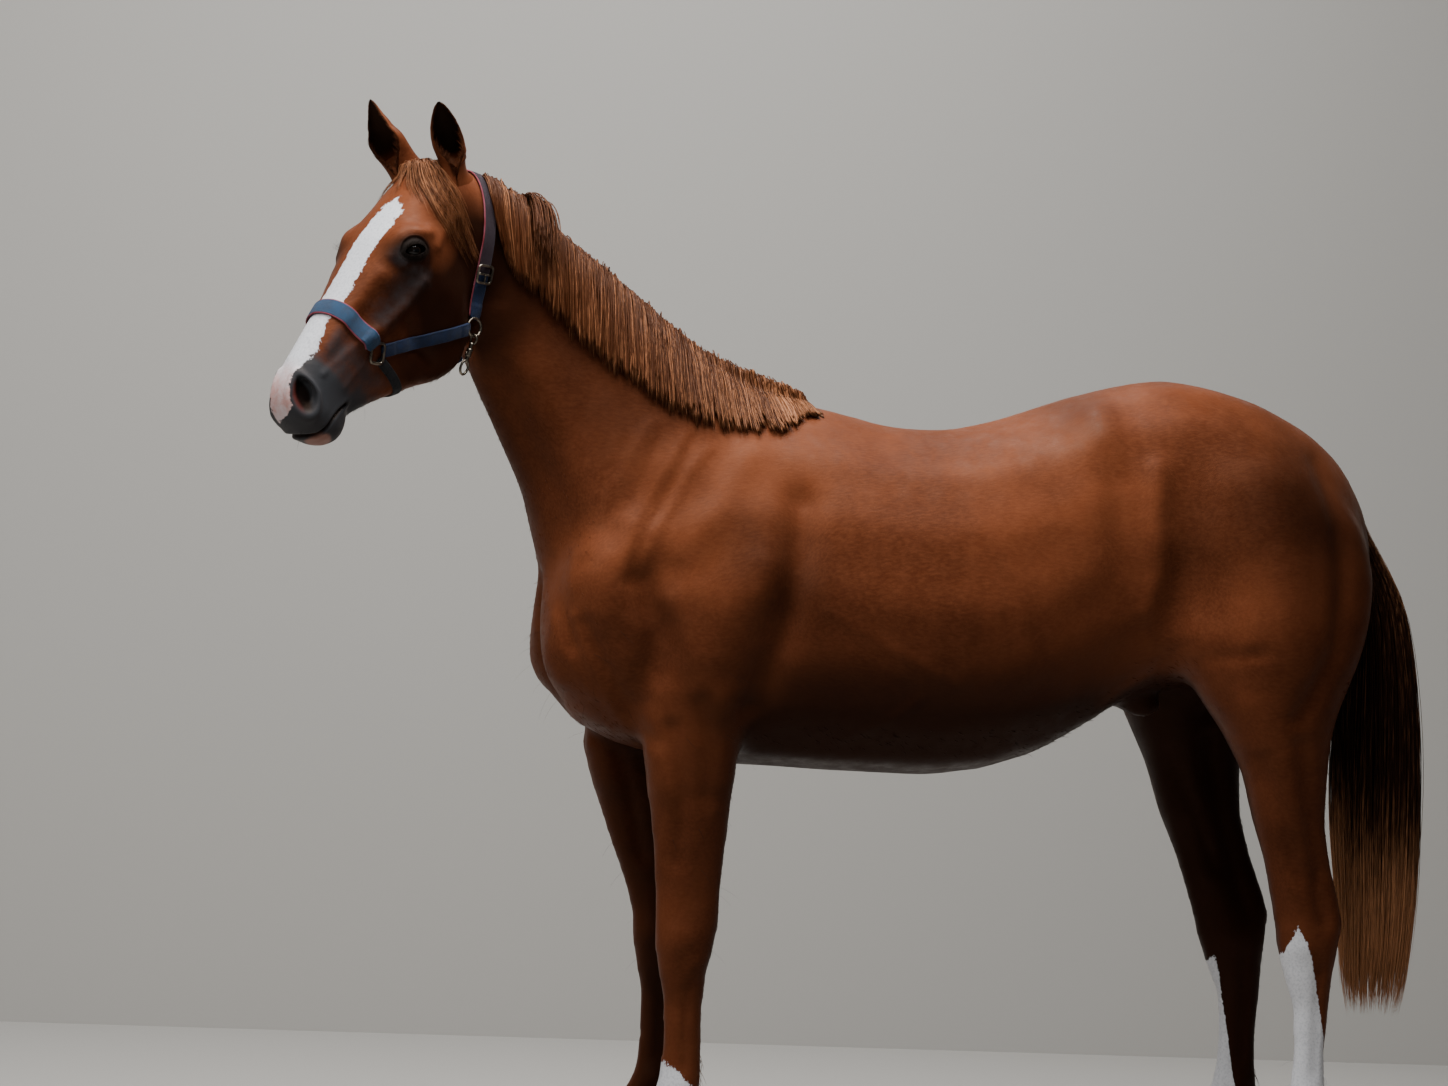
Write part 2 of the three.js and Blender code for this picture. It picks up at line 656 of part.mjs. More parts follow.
// The buckle is a flat four-sided frame lying on the left of the crownpiece.
function buckle() {
  const [at, out] = [onHead(...BUCKLE_AT), onHead(...BUCKLE_OUT).sub(HEAD_AT).normalize()];
  const run = onSide(CROWN, 0).sub(onSide(JAW_RING, 0));
  const up = run.addScaledVector(out, -run.dot(out)).normalize();
  const place = new THREE.Matrix4().makeBasis(new THREE.Vector3().crossVectors(up, out), up, out);
  const plate = (inset, low, high) => solidOf(
    new THREE.BoxGeometry(BUCKLE_WIDTH - 2 * inset, BUCKLE_LENGTH - 2 * inset, high - low),
    place.clone().setPosition(at.clone().addScaledVector(out, (low + high) / 2)),
  );
  return plate(0, 0, BUCKLE_BAR).subtract(plate(BUCKLE_BAR, -1, BUCKLE_BAR + 1));
}

function halterParts(group, flesh) {
  const headShell = headLoft(STRAP_THICK).subtract(flesh);
  const shell = join([headLoft(STRAP_THICK), neckLoft(STRAP_THICK)]).subtract(flesh);
  const halves = { left: slab(HEAD_AT, SIDE, 1, HUGE), right: slab(HEAD_AT, SIDE, -HUGE, -1) };
  const noseband = strap(headShell, NOSE_RING, NOSE_TOP, NOSEBAND_WIDTH, STRAP_END, HUGE);
  addPiece(group, 'halter_noseband', noseband, WEBBING);
  const chin = strap(headShell, NOSE_RING, CHIN_UNDER, STRAP_WIDTH, STRAP_END, HUGE);
  addPiece(group, 'halter_chin_strap', chin, WEBBING);
  const throat = strap(headShell, JAW_RING, JOWL_UNDER, STRAP_WIDTH / 2, STRAP_END, HUGE);
  addPiece(group, 'halter_throat_strap', throat, WEBBING);
  Object.entries(halves).forEach(([name, half]) => {
    const cheek = strap(shell, JAW_RING, NOSE_RING, STRAP_WIDTH, STRAP_END, -STRAP_END).intersect(half);
    addPiece(group, `halter_cheek_strap_${name}`, cheek, WEBBING);
    const hand = name === 'left' ? 1 : -1;
    addPiece(group, `halter_jaw_ring_${name}`, wireLoop(JAW_RING, JAW_RING_SIDE, hand, 16), STEEL);
    addPiece(group, `halter_nose_ring_${name}`, wireLoop(NOSE_RING, NOSE_RING_SIDE, hand, 8), STEEL);
  });
  const crown = strap(shell, JAW_RING, CROWN, STRAP_WIDTH, STRAP_END);
  addPiece(group, 'halter_crownpiece', crown, WEBBING);
  addPiece(group, 'halter_buckle', buckle(), STEEL);
}

const horse = new THREE.Group();
const cutter = fleshWith(CUT);
fleshParts(horse);
LEGS.forEach((leg) => addPiece(horse, leg.name.replace('leg', '_hoof'), hoof(leg), HORN));
EARS.forEach((place) => addPiece(horse, place.name, ear(place).subtract(cutter), COAT));
addPiece(horse, 'eye_left', eyeball(1, EYE_RADIUS), EYE);
addPiece(horse, 'eye_right', eyeball(-1, EYE_RADIUS), EYE);
addPiece(horse, 'mane', mane(cutter), MANE_HAIR);
addPiece(horse, 'forelock', forelock(cutter), MANE_HAIR);
addPiece(horse, 'tail_dock', dockLoft(0).subtract(cutter), COAT);
addPiece(horse, 'tail', tailLoft().subtract(join([cutter, dockLoft(CUT)])), TAIL_HAIR);
halterParts(horse, cutter);

const bounds = new THREE.Box3().setFromObject(horse);
const middle = bounds.getCenter(vector(0, 0, 0));
horse.position.set(-middle.x, -middle.y, -bounds.min.z);

export default horse;
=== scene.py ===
"""A young chestnut warmblood standing with its head turned to its left, in a navy webbing halter.

Lengths are metres. The horse faces -Y, its left side is +X, and +Z is up. Places on the body are
given from ORIGIN, the floor under the middle of the trunk's plan; places on the head are given on
its own axes, along (poll to muzzle), side (to its left) and face (outward), from the poll.
"""
import math

import bmesh
import bpy
import numpy as np
import openvdb as vdb
from mathutils import Matrix, Vector
from mathutils.bvhtree import BVHTree


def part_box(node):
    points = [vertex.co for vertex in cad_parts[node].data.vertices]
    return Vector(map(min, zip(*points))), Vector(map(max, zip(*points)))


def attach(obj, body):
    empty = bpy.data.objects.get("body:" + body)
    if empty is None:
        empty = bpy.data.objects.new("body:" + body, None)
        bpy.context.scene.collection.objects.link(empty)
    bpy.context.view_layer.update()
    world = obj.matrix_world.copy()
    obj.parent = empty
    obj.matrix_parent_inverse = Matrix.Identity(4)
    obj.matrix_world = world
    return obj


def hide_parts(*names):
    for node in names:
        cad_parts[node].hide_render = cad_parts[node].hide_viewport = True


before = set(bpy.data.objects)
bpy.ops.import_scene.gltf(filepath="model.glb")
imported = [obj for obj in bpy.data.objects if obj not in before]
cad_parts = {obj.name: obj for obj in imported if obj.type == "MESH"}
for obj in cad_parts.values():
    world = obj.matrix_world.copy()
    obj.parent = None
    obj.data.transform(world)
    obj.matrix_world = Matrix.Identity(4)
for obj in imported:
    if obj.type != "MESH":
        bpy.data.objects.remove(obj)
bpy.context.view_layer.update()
rng = np.random.default_rng(7)

# ---- driving dimensions -------------------------------------------------------------------------
LEFT, RIGHT = 1, -1
DOWN = np.array([0.0, 0.0, -1.0])
RIGHTWARD = np.array([-1.0, 0.0, 0.0])
FLESH = ("head", "neck", "trunk", "foreleg_left", "foreleg_right", "hindleg_left", "hindleg_right")
BODY_CELL = 0.0105
EASING_ROUNDS, REGAIN_ROUNDS = 110, 260
COAT_DEPTH = 0.0015
CUT_REACH = 0.0009  # faces this near a neighbour's are where two pieces of flesh were parted

TRUNK_REAR = 1.345  # the buttock's place along y from ORIGIN
HEAD_PITCH = math.radians(53.5)
EYE_ALONG, EYE_SIDE, EYE_FACE = 0.193, 0.086, -0.057


def middle(node):
    low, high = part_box(node)
    return (np.array(low) + np.array(high)) / 2


trunk_low, trunk_high = (np.array(corner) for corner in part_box("trunk"))
ORIGIN = np.array([(trunk_low[0] + trunk_high[0]) / 2, trunk_high[1] - TRUNK_REAR, 0.0])
eye_left, eye_right = middle("eye_left"), middle("eye_right")
SIDE = (eye_left - eye_right) / np.linalg.norm(eye_left - eye_right)
LEVEL = np.array([SIDE[1], -SIDE[0], 0.0])
ALONG = LEVEL * math.cos(HEAD_PITCH) - np.array([0, 0, math.sin(HEAD_PITCH)])
FACE = np.cross(ALONG, SIDE)
POLL = (eye_left + eye_right) / 2 - ALONG * EYE_ALONG - FACE * EYE_FACE


def on_head(along, side, face):
    return POLL + ALONG * along + SIDE * side + FACE * face


def head_places(points):
    away = points - POLL
    return np.stack([away @ ALONG, away @ SIDE, away @ FACE], axis=1)


def on_body(x, y, z):
    return ORIGIN + np.array([x, y, z])


# ---- small helpers ------------------------------------------------------------------------------
def ramp(value, start, end):
    """0 before start, 1 after end, smooth between; start may be the larger."""
    t = np.clip((value - start) / (end - start), 0, 1)
    return t * t * (3 - 2 * t)


def bell(distance, width):
    return np.exp(-0.5 * (distance / width) ** 2)


def mesh_arrays(obj):
    mesh = obj.data
    points = np.empty(len(mesh.vertices) * 3, np.float32)
    mesh.vertices.foreach_get("co", points)
    mesh.calc_loop_triangles()
    triangles = np.empty(len(mesh.loop_triangles) * 3, np.int32)
    mesh.loop_triangles.foreach_get("vertices", triangles)
    return points.reshape(-1, 3), triangles.reshape(-1, 3)


def face_list(faces):
    """Faces of any size as plain lists."""
    return [face.tolist() if hasattr(face, "tolist") else list(face) for face in faces]


def make_mesh(name, points, faces):
    mesh = bpy.data.meshes.new(name)
    mesh.from_pydata(np.asarray(points, float).tolist(), [], face_list(faces))
    mesh.update()
    mesh.shade_smooth()
    obj = bpy.data.objects.new(name, mesh)
    bpy.context.scene.collection.objects.link(obj)
    return obj


def attributes(obj, fields):
    """Puts fields, by name, on the mesh's points for its material to read."""
    for name, values in fields.items():
        layer = obj.data.attributes.new(name, "FLOAT", "POINT")
        layer.data.foreach_set("value", np.asarray(values, np.float32))


def place_piece(obj, nodes, material):
    """Gives a piece its material and puts it on the horse in place of its CAD nodes."""
    obj.data.materials.append(material)
    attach(obj, "root")
    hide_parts(*nodes)


def surface_tree(points, faces):
    return BVHTree.FromPolygons(points.tolist(), face_list(faces))


def first_hit(tree, start, toward):
    """Where a line from start first meets the surface, or None."""
    return tree.ray_cast(start.tolist(), toward.tolist())[0]


def ring_quads(rows, around):
    """The quads between rings of so many points, one ring after another."""
    quads = []
    for row in range(rows - 1):
        for k in range(around):
            a, b = row * around + k, row * around + (k + 1) % around
            quads.append([a, b, b + around, a + around])
    return quads


# ---- one skin from the parts of flesh -----------------------------------------------------------
def outer_faces():
    """The flesh's own faces, without those where two pieces were parted."""
    pieces = {name: mesh_arrays(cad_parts[name]) for name in FLESH}
    trees = {name: BVHTree.FromPolygons(points.tolist(), triangles.tolist())
             for name, (points, triangles) in pieces.items()}
    points_out, triangles_out = [], []
    offset = 0
    for name in FLESH + ("tail_dock",):
        points, triangles = pieces.get(name) or mesh_arrays(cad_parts[name])
        corners = points[triangles]
        centres = corners.mean(axis=1)
        normals = np.cross(corners[:, 1] - corners[:, 0], corners[:, 2] - corners[:, 0])
        normals /= np.linalg.norm(normals, axis=1)[:, None] + 1e-12
        parted = np.zeros(len(triangles), bool)
        for other in [other for other in FLESH if name in FLESH and other != name]:
            low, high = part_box(other)
            near = np.all((centres > np.array(low) - 0.01) & (centres < np.array(high) + 0.01), axis=1)
            for index in np.nonzero(near)[0]:
                probes = [centres[index], *(corners[index] * 0.8 + centres[index] * 0.2)]
                hits = [trees[other].find_nearest(probe.tolist(), CUT_REACH) for probe in probes]
                if all(hit[0] is not None for hit in hits):
                    parted[index] = hits[0][1].dot(Vector(normals[index].tolist())) < -0.9
        points_out.append(points)
        triangles_out.append(triangles[~parted] + offset)
        offset += len(points)
    return np.concatenate(points_out), np.concatenate(triangles_out)


def remeshed(points, triangles, cell):
    transform = vdb.createLinearTransform(voxelSize=cell)
    grid = vdb.FloatGrid.createLevelSetFromPolygons(
        points.astype(np.float32), triangles=triangles.astype(np.uint32), transform=transform)
    verts, tris, quads = grid.convertToPolygons(isovalue=-COAT_DEPTH, adaptivity=0)
    return np.asarray(verts, float), [*np.asarray(tris), *np.asarray(quads)[:, ::-1]]


class Web:
    """The edges of a mesh, for smoothing what its vertices carry."""

    def __init__(self, count, faces):
        pairs = []
        for size in {len(face) for face in faces}:
            ring = np.array([face for face in faces if len(face) == size])
            for k in range(size):
                pairs.append(ring[:, [k, (k + 1) % size]])
        pairs = np.sort(np.concatenate(pairs), axis=1)
        pairs = np.unique(pairs, axis=0)
        self.a = np.concatenate([pairs[:, 0], pairs[:, 1]])
        self.b = np.concatenate([pairs[:, 1], pairs[:, 0]])
        self.count = count
        self.degree = np.maximum(np.bincount(self.a, minlength=count), 1)

    def around(self, values):
        return np.bincount(self.a, weights=values[self.b], minlength=self.count) / self.degree

    def relaxed(self, values, share, rounds):
        """Each value moves towards its neighbours' mean by its share, round after round."""
        values = values.copy()
        for _ in range(rounds):
            if values.ndim == 1:
                values += share * (self.around(values) - values)
            else:
                for axis in range(values.shape[1]):
                    values[:, axis] += share * (self.around(values[:, axis]) - values[:, axis])
        return values


def vertex_normals(points, faces):
    total = np.zeros_like(points)
    for size in {len(face) for face in faces}:
        ring = np.array([face for face in faces if len(face) == size])
        corners = points[ring]
        if size == 3:
            normal = np.cross(corners[:, 1] - corners[:, 0], corners[:, 2] - corners[:, 0])
        else:
            normal = np.cross(corners[:, 2] - corners[:, 0], corners[:, 3] - corners[:, 1])
        for k in range(size):
            for axis in range(3):
                total[:, axis] += np.bincount(ring[:, k], weights=normal[:, axis], minlength=len(points))
    return total / (np.linalg.norm(total, axis=1)[:, None] + 1e-12)


def head_share(points):
    """1 on the head, falling to 0 on the neck."""
    along, side, face = head_places(points).T
    return ramp(along, -0.05, 0.05) * ramp(face, -0.40, -0.33) * ramp(np.abs(side), 0.2, 0.15)


def smoothing_shares(points):
    """How far each round eases the flesh: least on the head and the legs."""
    _, y, z = (points - ORIGIN).T
    neck = ramp(y, 0.0, -0.30) * ramp(z, 1.1, 1.35)
    share = 0.5 - 0.38 * neck
    share = np.minimum(share, 0.02 + 0.45 * ramp(z, 0.72, 1.2))
    head = head_share(points)
    return share * (1 - head) + 0.025 * head


def flesh_skin():
    """The flesh as one closed surface, rounded without loss of size."""
    shape, triangles = outer_faces()
    points, faces = remeshed(shape, triangles, BODY_CELL)
    web = Web(len(points), faces)
    share = smoothing_shares(points)
    rounded = web.relaxed(points, share, EASING_ROUNDS)
    normals = vertex_normals(rounded, faces)
    lost = np.einsum("ij,ij->i", points - rounded, normals)
    lost = web.relaxed(lost, np.minimum(share * 1.5, 0.5), REGAIN_ROUNDS)
    rounded += normals * lost[:, None]
    solid = BVHTree.FromPolygons(shape.tolist(), triangles.tolist())
    for rounds in (70, 30):
        normals = vertex_normals(rounded, faces)
        nearest = np.array([solid.find_nearest(point)[0] for point in rounded.tolist()])
        gap = np.clip(np.einsum("ij,ij->i", nearest - rounded, normals) - COAT_DEPTH, -0.001, 0.02)
        rounded += normals * web.relaxed(gap, 0.5, rounds)[:, None]
    return rounded, faces


def refined(points, faces, inside):
    """Splits the faces whose middle is inside into four."""
    mesh = bpy.data.meshes.new("refining")
    mesh.from_pydata(points.tolist(), [], face_list(faces))
    work = bmesh.new()
    work.from_mesh(mesh)
    bpy.data.meshes.remove(mesh)
    work.faces.ensure_lookup_table()
    centres = np.array([face.calc_center_median() for face in work.faces])
    chosen = inside(centres)
    edges = dict.fromkeys(edge for face, wanted in zip(work.faces, chosen) if wanted
                          for edge in face.edges)
    bmesh.ops.subdivide_edges(work, edges=list(edges), cuts=1, use_grid_fill=True)
    large = [face for face in work.faces if len(face.verts) > 4]
    bmesh.ops.triangulate(work, faces=large)
    work.verts.index_update()
    points = np.array([vert.co for vert in work.verts])
    faces = [[vert.index for vert in face.verts] for face in work.faces]
    work.free()
    return points, faces


def on_whole_head(points):
    along, side, face = head_places(points).T
    return (along > -0.02) & (face > -0.37) & (np.abs(side) < 0.16)


def on_fine_head(points):
    """The muzzle and the surroundings of the eyes."""
    along, side, face = head_places(points).T
    near_eye = np.hypot(along - EYE_ALONG, face - EYE_FACE) < 0.072
    return on_whole_head(points) & ((along > 0.495) | (near_eye & (np.abs(side) > 0.05)))


# ---- sculpting: ridges and grooves --------------------------------------------------------------
def line_distance(places, line):
    """How far each place in a plane is from a line of points."""
    line = np.asarray(line, float)
    if len(line) == 1:
        return np.linalg.norm(places - line[0], axis=1)
    best = np.full(len(places), 1e9)
    for start, end in zip(line[:-1], line[1:]):
        run = end - start
        t = np.clip((places - start) @ run / (run @ run), 0, 1)
        best = np.minimum(best, np.linalg.norm(places - start - t[:, None] * run, axis=1))
    return best


# On the flank plane, [(y, z) ...], width, height (grooves are negative), side (0 is both).
BODY_STROKES = [
    # shoulder and foreleg
    ([(0.112, 1.38), (0.108, 1.299), (0.091, 1.19), (0.069, 1.091), (0.034, 0.982)], 0.025, -0.018, 0),
    ([(0.03, 1.24), (-0.03, 1.15), (-0.05, 1.08)], 0.046, 0.014, 0),
    ([(-0.203, 1.214), (-0.161, 1.127), (-0.171, 1.025), (-0.184, 0.979)], 0.023, -0.015, 0),
    ([(-0.150, 1.235), (-0.175, 1.17)], 0.030, -0.007, 0),
    ([(-0.147, 1.178), (-0.103, 1.103), (-0.076, 1.007)], 0.016, 0.005, 0),
    ([(-0.225, 1.31), (-0.255, 1.214), (-0.265, 1.150)], 0.032, 0.011, 0),
    ([(0.03, 1.50), (-0.04, 1.38), (-0.12, 1.27)], 0.020, 0.004, 0),
    ([(-0.03, 0.985), (0.02, 1.0)], 0.026, 0.008, 0),
    ([(-0.160, 0.99), (-0.148, 0.911), (-0.130, 0.82)], 0.026, 0.009, 0),
    ([(-0.125, 0.930), (-0.120, 0.901), (-0.093, 0.794), (-0.094, 0.667)], 0.011, -0.007, 0),
    ([(-0.070, 0.985), (-0.045, 0.90), (-0.040, 0.80)], 0.014, -0.005, 0),
    ([(-0.02, 0.95), (-0.015, 0.83)], 0.022, 0.005, 0),
    ([(-0.32, 1.137), (-0.287, 1.056), (-0.233, 0.969), (-0.162, 0.885)], 0.008, 0.005, 0),
    ([(-0.302, 1.125), (-0.268, 1.052), (-0.215, 0.972), (-0.150, 0.900)], 0.011, -0.006, 0),
    ([(-0.372, 1.246), (-0.364, 1.162), (-0.34, 1.071), (-0.269, 0.984)], 0.007, 0.003, 0),
    ([(-0.355, 1.250), (-0.346, 1.162), (-0.322, 1.078)], 0.009, -0.005, 0),
    # skin folds of the turned neck
    ([(-0.070, 1.478), (-0.104, 1.436), (-0.136, 1.374), (-0.179, 1.307), (-0.200, 1.23)],
     0.0065, 0.0022, LEFT),
    ([(-0.115, 1.50), (-0.161, 1.424), (-0.198, 1.357), (-0.225, 1.295), (-0.237, 1.225)],
     0.0065, 0.0020, LEFT),
    ([(-0.19, 1.52), (-0.220, 1.466), (-0.257, 1.389), (-0.279, 1.323)], 0.008, 0.0018, LEFT),
    ([(-0.10, 1.50), (-0.140, 1.41), (-0.185, 1.32), (-0.215, 1.25)], 0.006, -0.0022, LEFT),
    ([(-0.16, 1.51), (-0.200, 1.42), (-0.235, 1.35)], 0.007, -0.0016, LEFT),
    # neck
    ([(-0.485, 1.60), (-0.43, 1.49), (-0.37, 1.38), (-0.335, 1.25)], 0.020, -0.008, 0),
    ([(-0.42, 1.60), (-0.36, 1.49), (-0.29, 1.38)], 0.035, 0.005, 0),
    ([(-0.38, 1.72), (-0.28, 1.60), (-0.17, 1.49)], 0.030, -0.004, 0),
    # loin, hip and flank
    ([(0.718, 1.572)], 0.034, 0.015, 0),
    ([(0.48, 1.553), (0.585, 1.590), (0.66, 1.605)], 0.028, -0.006, 0),
    ([(0.685, 1.50), (0.690, 1.40), (0.695, 1.30)], 0.040, 0.005, 0),
    ([(0.752, 1.45), (0.752, 1.38), (0.756, 1.30)], 0.030, -0.005, 0),
    ([(0.830, 1.486), (0.824, 1.385), (0.838, 1.287), (0.822, 1.207)], 0.017, 0.007, 0),
    ([(0.898, 1.47), (0.895, 1.38), (0.888, 1.31), (0.870, 1.22)], 0.040, -0.011, 0),
    ([(0.17, 1.171), (0.294, 1.103), (0.430, 1.040)], 0.008, 0.0016, 0),
    ([(0.36, 1.010), (0.328, 0.974), (0.22, 0.92)], 0.007, 0.002, 0),
    # thigh and gaskin
    ([(0.925, 1.155)], 0.036, 0.016, 0),
    ([(0.903, 1.140), (0.871, 1.100)], 0.012, -0.004, 0),
    ([(0.955, 1.118), (1.047, 1.130)], 0.010, -0.004, 0),
    ([(1.04, 1.44), (1.06, 1.30), (1.06, 1.19)], 0.065, 0.010, 0),
    ([(1.180, 1.52), (1.205, 1.40), (1.215, 1.27), (1.205, 1.14), (1.139, 1.003)], 0.018, -0.009, 0),
    ([(1.073, 0.919), (1.13, 0.801), (1.175, 0.682)], 0.012, -0.005, 0),
    ([(1.03, 1.01), (1.09, 0.90), (1.12, 0.80)], 0.028, 0.006, 0),
    ([(1.15, 0.95), (1.185, 0.82), (1.215, 0.70)], 0.015, -0.009, 0),
    ([(1.165, 0.66), (1.185, 0.60), (1.19, 0.55)], 0.020, 0.004, 0),
    ([(1.215, 0.67), (1.235, 0.60)], 0.013, -0.008, 0),
    # cannons and fetlocks
    ([(1.228, 0.50), (1.230, 0.40), (1.232, 0.29)], 0.006, -0.0045, 0),
    ([(1.222, 0.235)], 0.018, 0.005, 0),
    ([(-0.062, 0.42), (-0.060, 0.34), (-0.058, 0.27)], 0.006, -0.0045, 0),
    ([(-0.058, 0.225)], 0.018, 0.005, 0),
    ([(-0.075, 0.52)], 0.022, 0.005, 0),
    ([(-0.045, 0.47)], 0.014, 0.003, 0),
]
STROKE_STRENGTH = 1.3
RIBS = 6
RIB_FIRST, RIB_STEP, RIB_LEAN = 0.30, 0.062, 0.10
RIB_RISE, RIB_WIDTH = 0.0018, 0.014
# Furrows on the middle line: depth, half width.
CHEST_DEPTH, CHEST_WIDTH = 0.020, 0.020
RUMP_DEPTH, RUMP_WIDTH = 0.022, 0.022
SPINE_DEPTH, SPINE_WIDTH = 0.005, 0.016
GROIN_DEPTH, GROIN_WIDTH, GROIN_Y = 0.028, 0.06, 0.845
# How far the right legs stand ahead of the left ones: [height, hind, fore].
LEG_STEP = [
    (0.43, 0.064, 0.0), (0.62, 0.078, 0.015), (0.80, 0.098, 0.061), (0.90, 0.100, 0.072),
    (1.0, 0.094, 0.058), (1.15, 0.050, 0.020), (1.30, 0.008, 0.0),
]


def on_flank(points):
    """Each point's (y, z) as on the left side, with the right legs brought level with the left."""
    x, y, z = (points - ORIGIN).T
    heights, hind, fore = np.array(LEG_STEP).T
    step = np.where(y > 0.5, np.interp(z, heights, hind), np.interp(z, heights, fore))
    return np.stack([y + step * (x < 0), z], axis=1)


def sculpt_body(points, normals):
    """Raises muscles and bones and lowers the grooves between them, on the trunk and the legs."""
    x, y, z = (points - ORIGIN).T
    flank = on_flank(points)
    sideways = np.abs(normals[:, 0])
    body = 1 - head_share(points)
    height = np.zeros(len(points))
    for line, width, rise, hand in BODY_STROKES:
        facing = sideways if hand == 0 else sideways * (x * hand > 0)
        height += STROKE_STRENGTH * rise * bell(line_distance(flank, line), width) * facing
    for k in range(RIBS):
        middle_y = RIB_FIRST + k * RIB_STEP
        rib = [(middle_y - RIB_LEAN, 1.40), (middle_y, 1.22), (middle_y + RIB_LEAN * 0.3, 1.06)]
        height += RIB_RISE * bell(line_distance(flank, rib), RIB_WIDTH) * sideways
    chest = ramp(y, -0.22, -0.30) * ramp(z, 0.93, 1.0) * ramp(z, 1.26, 1.16)
    height -= CHEST_DEPTH * bell(x, CHEST_WIDTH) * chest * np.maximum(-normals[:, 1], 0)
    rump = ramp(y, 1.18, 1.26) * ramp(z, 1.02, 1.10) * ramp(z, 1.48, 1.38)
    height -= RUMP_DEPTH * bell(x, RUMP_WIDTH) * rump * np.maximum(normals[:, 1], 0)
    groin = bell(np.hypot(y - GROIN_Y, 1.3 * x), GROIN_WIDTH) * ramp(z, 1.08, 1.03)
    height -= GROIN_DEPTH * (groin * np.maximum(-normals[:, 2], 0))
    spine = ramp(y, 0.25, 0.40) * ramp(y, 1.15, 0.95) * np.maximum(normals[:, 2], 0)
    height -= SPINE_DEPTH * bell(x, SPINE_WIDTH) * spine
    return points + normals * (height * body)[:, None]


# On the side of the head, [(along, face) ...], width, height.
HEAD_STROKES = [
    ([(0.225, -0.110), (0.29, -0.113), (0.352, -0.104), (0.381, -0.094)], 0.0085, 0.0075),
    ([(0.26, -0.078), (0.311, -0.074), (0.35, -0.068)], 0.018, -0.006),
    ([(0.305, -0.14), (0.318, -0.19), (0.308, -0.245)], 0.010, -0.006),
    ([(0.19, -0.19), (0.235, -0.24)], 0.042, 0.006),
    ([(0.13, -0.255), (0.19, -0.298), (0.27, -0.312), (0.33, -0.284)], 0.011, 0.004),
    ([(0.00, -0.175), (0.06, -0.225), (0.12, -0.275)], 0.013, -0.009),
    ([(0.150, -0.092), (0.11, -0.087), (0.07, -0.092)], 0.009, 0.005),
    ([(0.120, -0.042)], 0.019, -0.008),
    ([(0.228, -0.030), (0.20, -0.024), (0.165, -0.033), (0.142, -0.060)], 0.0085, 0.007),
    ([(0.27, -0.030), (0.36, -0.036), (0.45, -0.044)], 0.007, 0.0025),
    ([(0.30, -0.053), (0.40, -0.061), (0.47, -0.064)], 0.012, -0.005),
    ([(0.36, -0.092), (0.43, -0.078), (0.50, -0.062)], 0.005, 0.0022),
    ([(0.352, -0.112), (0.419, -0.122), (0.485, -0.118)], 0.005, 0.0022),
    ([(0.40, -0.150), (0.46, -0.152)], 0.022, -0.006),
    ([(0.555, -0.112), (0.585, -0.104)], 0.016, 0.0025),
    ([(0.585, -0.150), (0.55, -0.154)], 0.010, 0.0025),
    ([(0.555, -0.180), (0.53, -0.182)], 0.015, 0.005),
    ([(0.505, -0.182), (0.50, -0.168)], 0.011, -0.006),
]
MOUTH = [(0.612, -0.112), (0.602, -0.122), (0.590, -0.131), (0.570, -0.134), (0.548, -0.133),
         (0.525, -0.138), (0.500, -0.148)]
NOSTRIL = (0.556, -0.057)
NOSTRIL_AXIS = (0.66, -0.75)
NOSTRIL_LENGTH, NOSTRIL_WIDTH, NOSTRIL_DEPTH = 0.035, 0.0195, 0.022
NOSTRIL_RIM = 0.0045
MOUTH_DEPTH, MOUTH_WIDTH = 0.009, 0.0026


def nostril_axes(along, face):
    """How far a place lies along the nostril and across it from its middle."""
    far, up = along - NOSTRIL[0], face - NOSTRIL[1]
    return (far * NOSTRIL_AXIS[0] + up * NOSTRIL_AXIS[1],
            far * NOSTRIL_AXIS[1] - up * NOSTRIL_AXIS[0])


def nostril_place(along, face):
    """Across the nostril: 0 at its middle, 1 at its rim, narrower at its upper end."""
    length, width = nostril_axes(along, face)
    narrow = 1 - 0.30 * np.clip(-length / NOSTRIL_LENGTH, 0, 1)
    return np.hypot(length / NOSTRIL_LENGTH, width / (NOSTRIL_WIDTH * narrow))


def nostril_turn(along, face):
    """1 on the nostril's side towards the nose's tip, -1 on the other."""
    return np.clip(-nostril_axes(along, face)[1] / NOSTRIL_WIDTH, -1, 1)


def sculpt_head(points, normals):
    """Raises the bones of the head, lowers the mouth's line and hollows the nostrils."""
    along, side, face = head_places(points).T
    share = head_share(points)
    sideways = np.abs(normals @ SIDE)
    plane = np.stack([along, face], axis=1)
    height = np.zeros(len(points))
    for line, width, rise in HEAD_STROKES:
        height += rise * bell(line_distance(plane, line), width) * sideways
    slit = line_distance(plane, MOUTH)
    height += 0.0025 * bell(slit, 0.008) - MOUTH_DEPTH * bell(slit, MOUTH_WIDTH)
    ring = nostril_place(along, face)
    nostril_side = ramp(np.abs(side), 0.010, 0.022)
    height += NOSTRIL_RIM * bell(ring - 1.22, 0.22) * nostril_side
    moved = points + normals * (height * share)[:, None]
    hollow = NOSTRIL_DEPTH * ramp(ring, 1.06, 0.55) * nostril_side * share
    inward = -0.62 * ALONG - 0.55 * np.sign(side)[:, None] * SIDE - 0.10 * FACE
    return moved + inward * hollow[:, None]


# ---- eyes ---------------------------------------------------------------------------------------
EYE_RADIUS = 0.021
EYE_SUNK = 0.0050
EYE_REACH = 0.07  # skin nearer an eye than this is shaped round it
LID = 0.0024
OPENING_HALF = 0.0225
OPENING_UP, OPENING_DOWN = 0.0125, 0.0085
EYE_SLANT = math.radians(42)
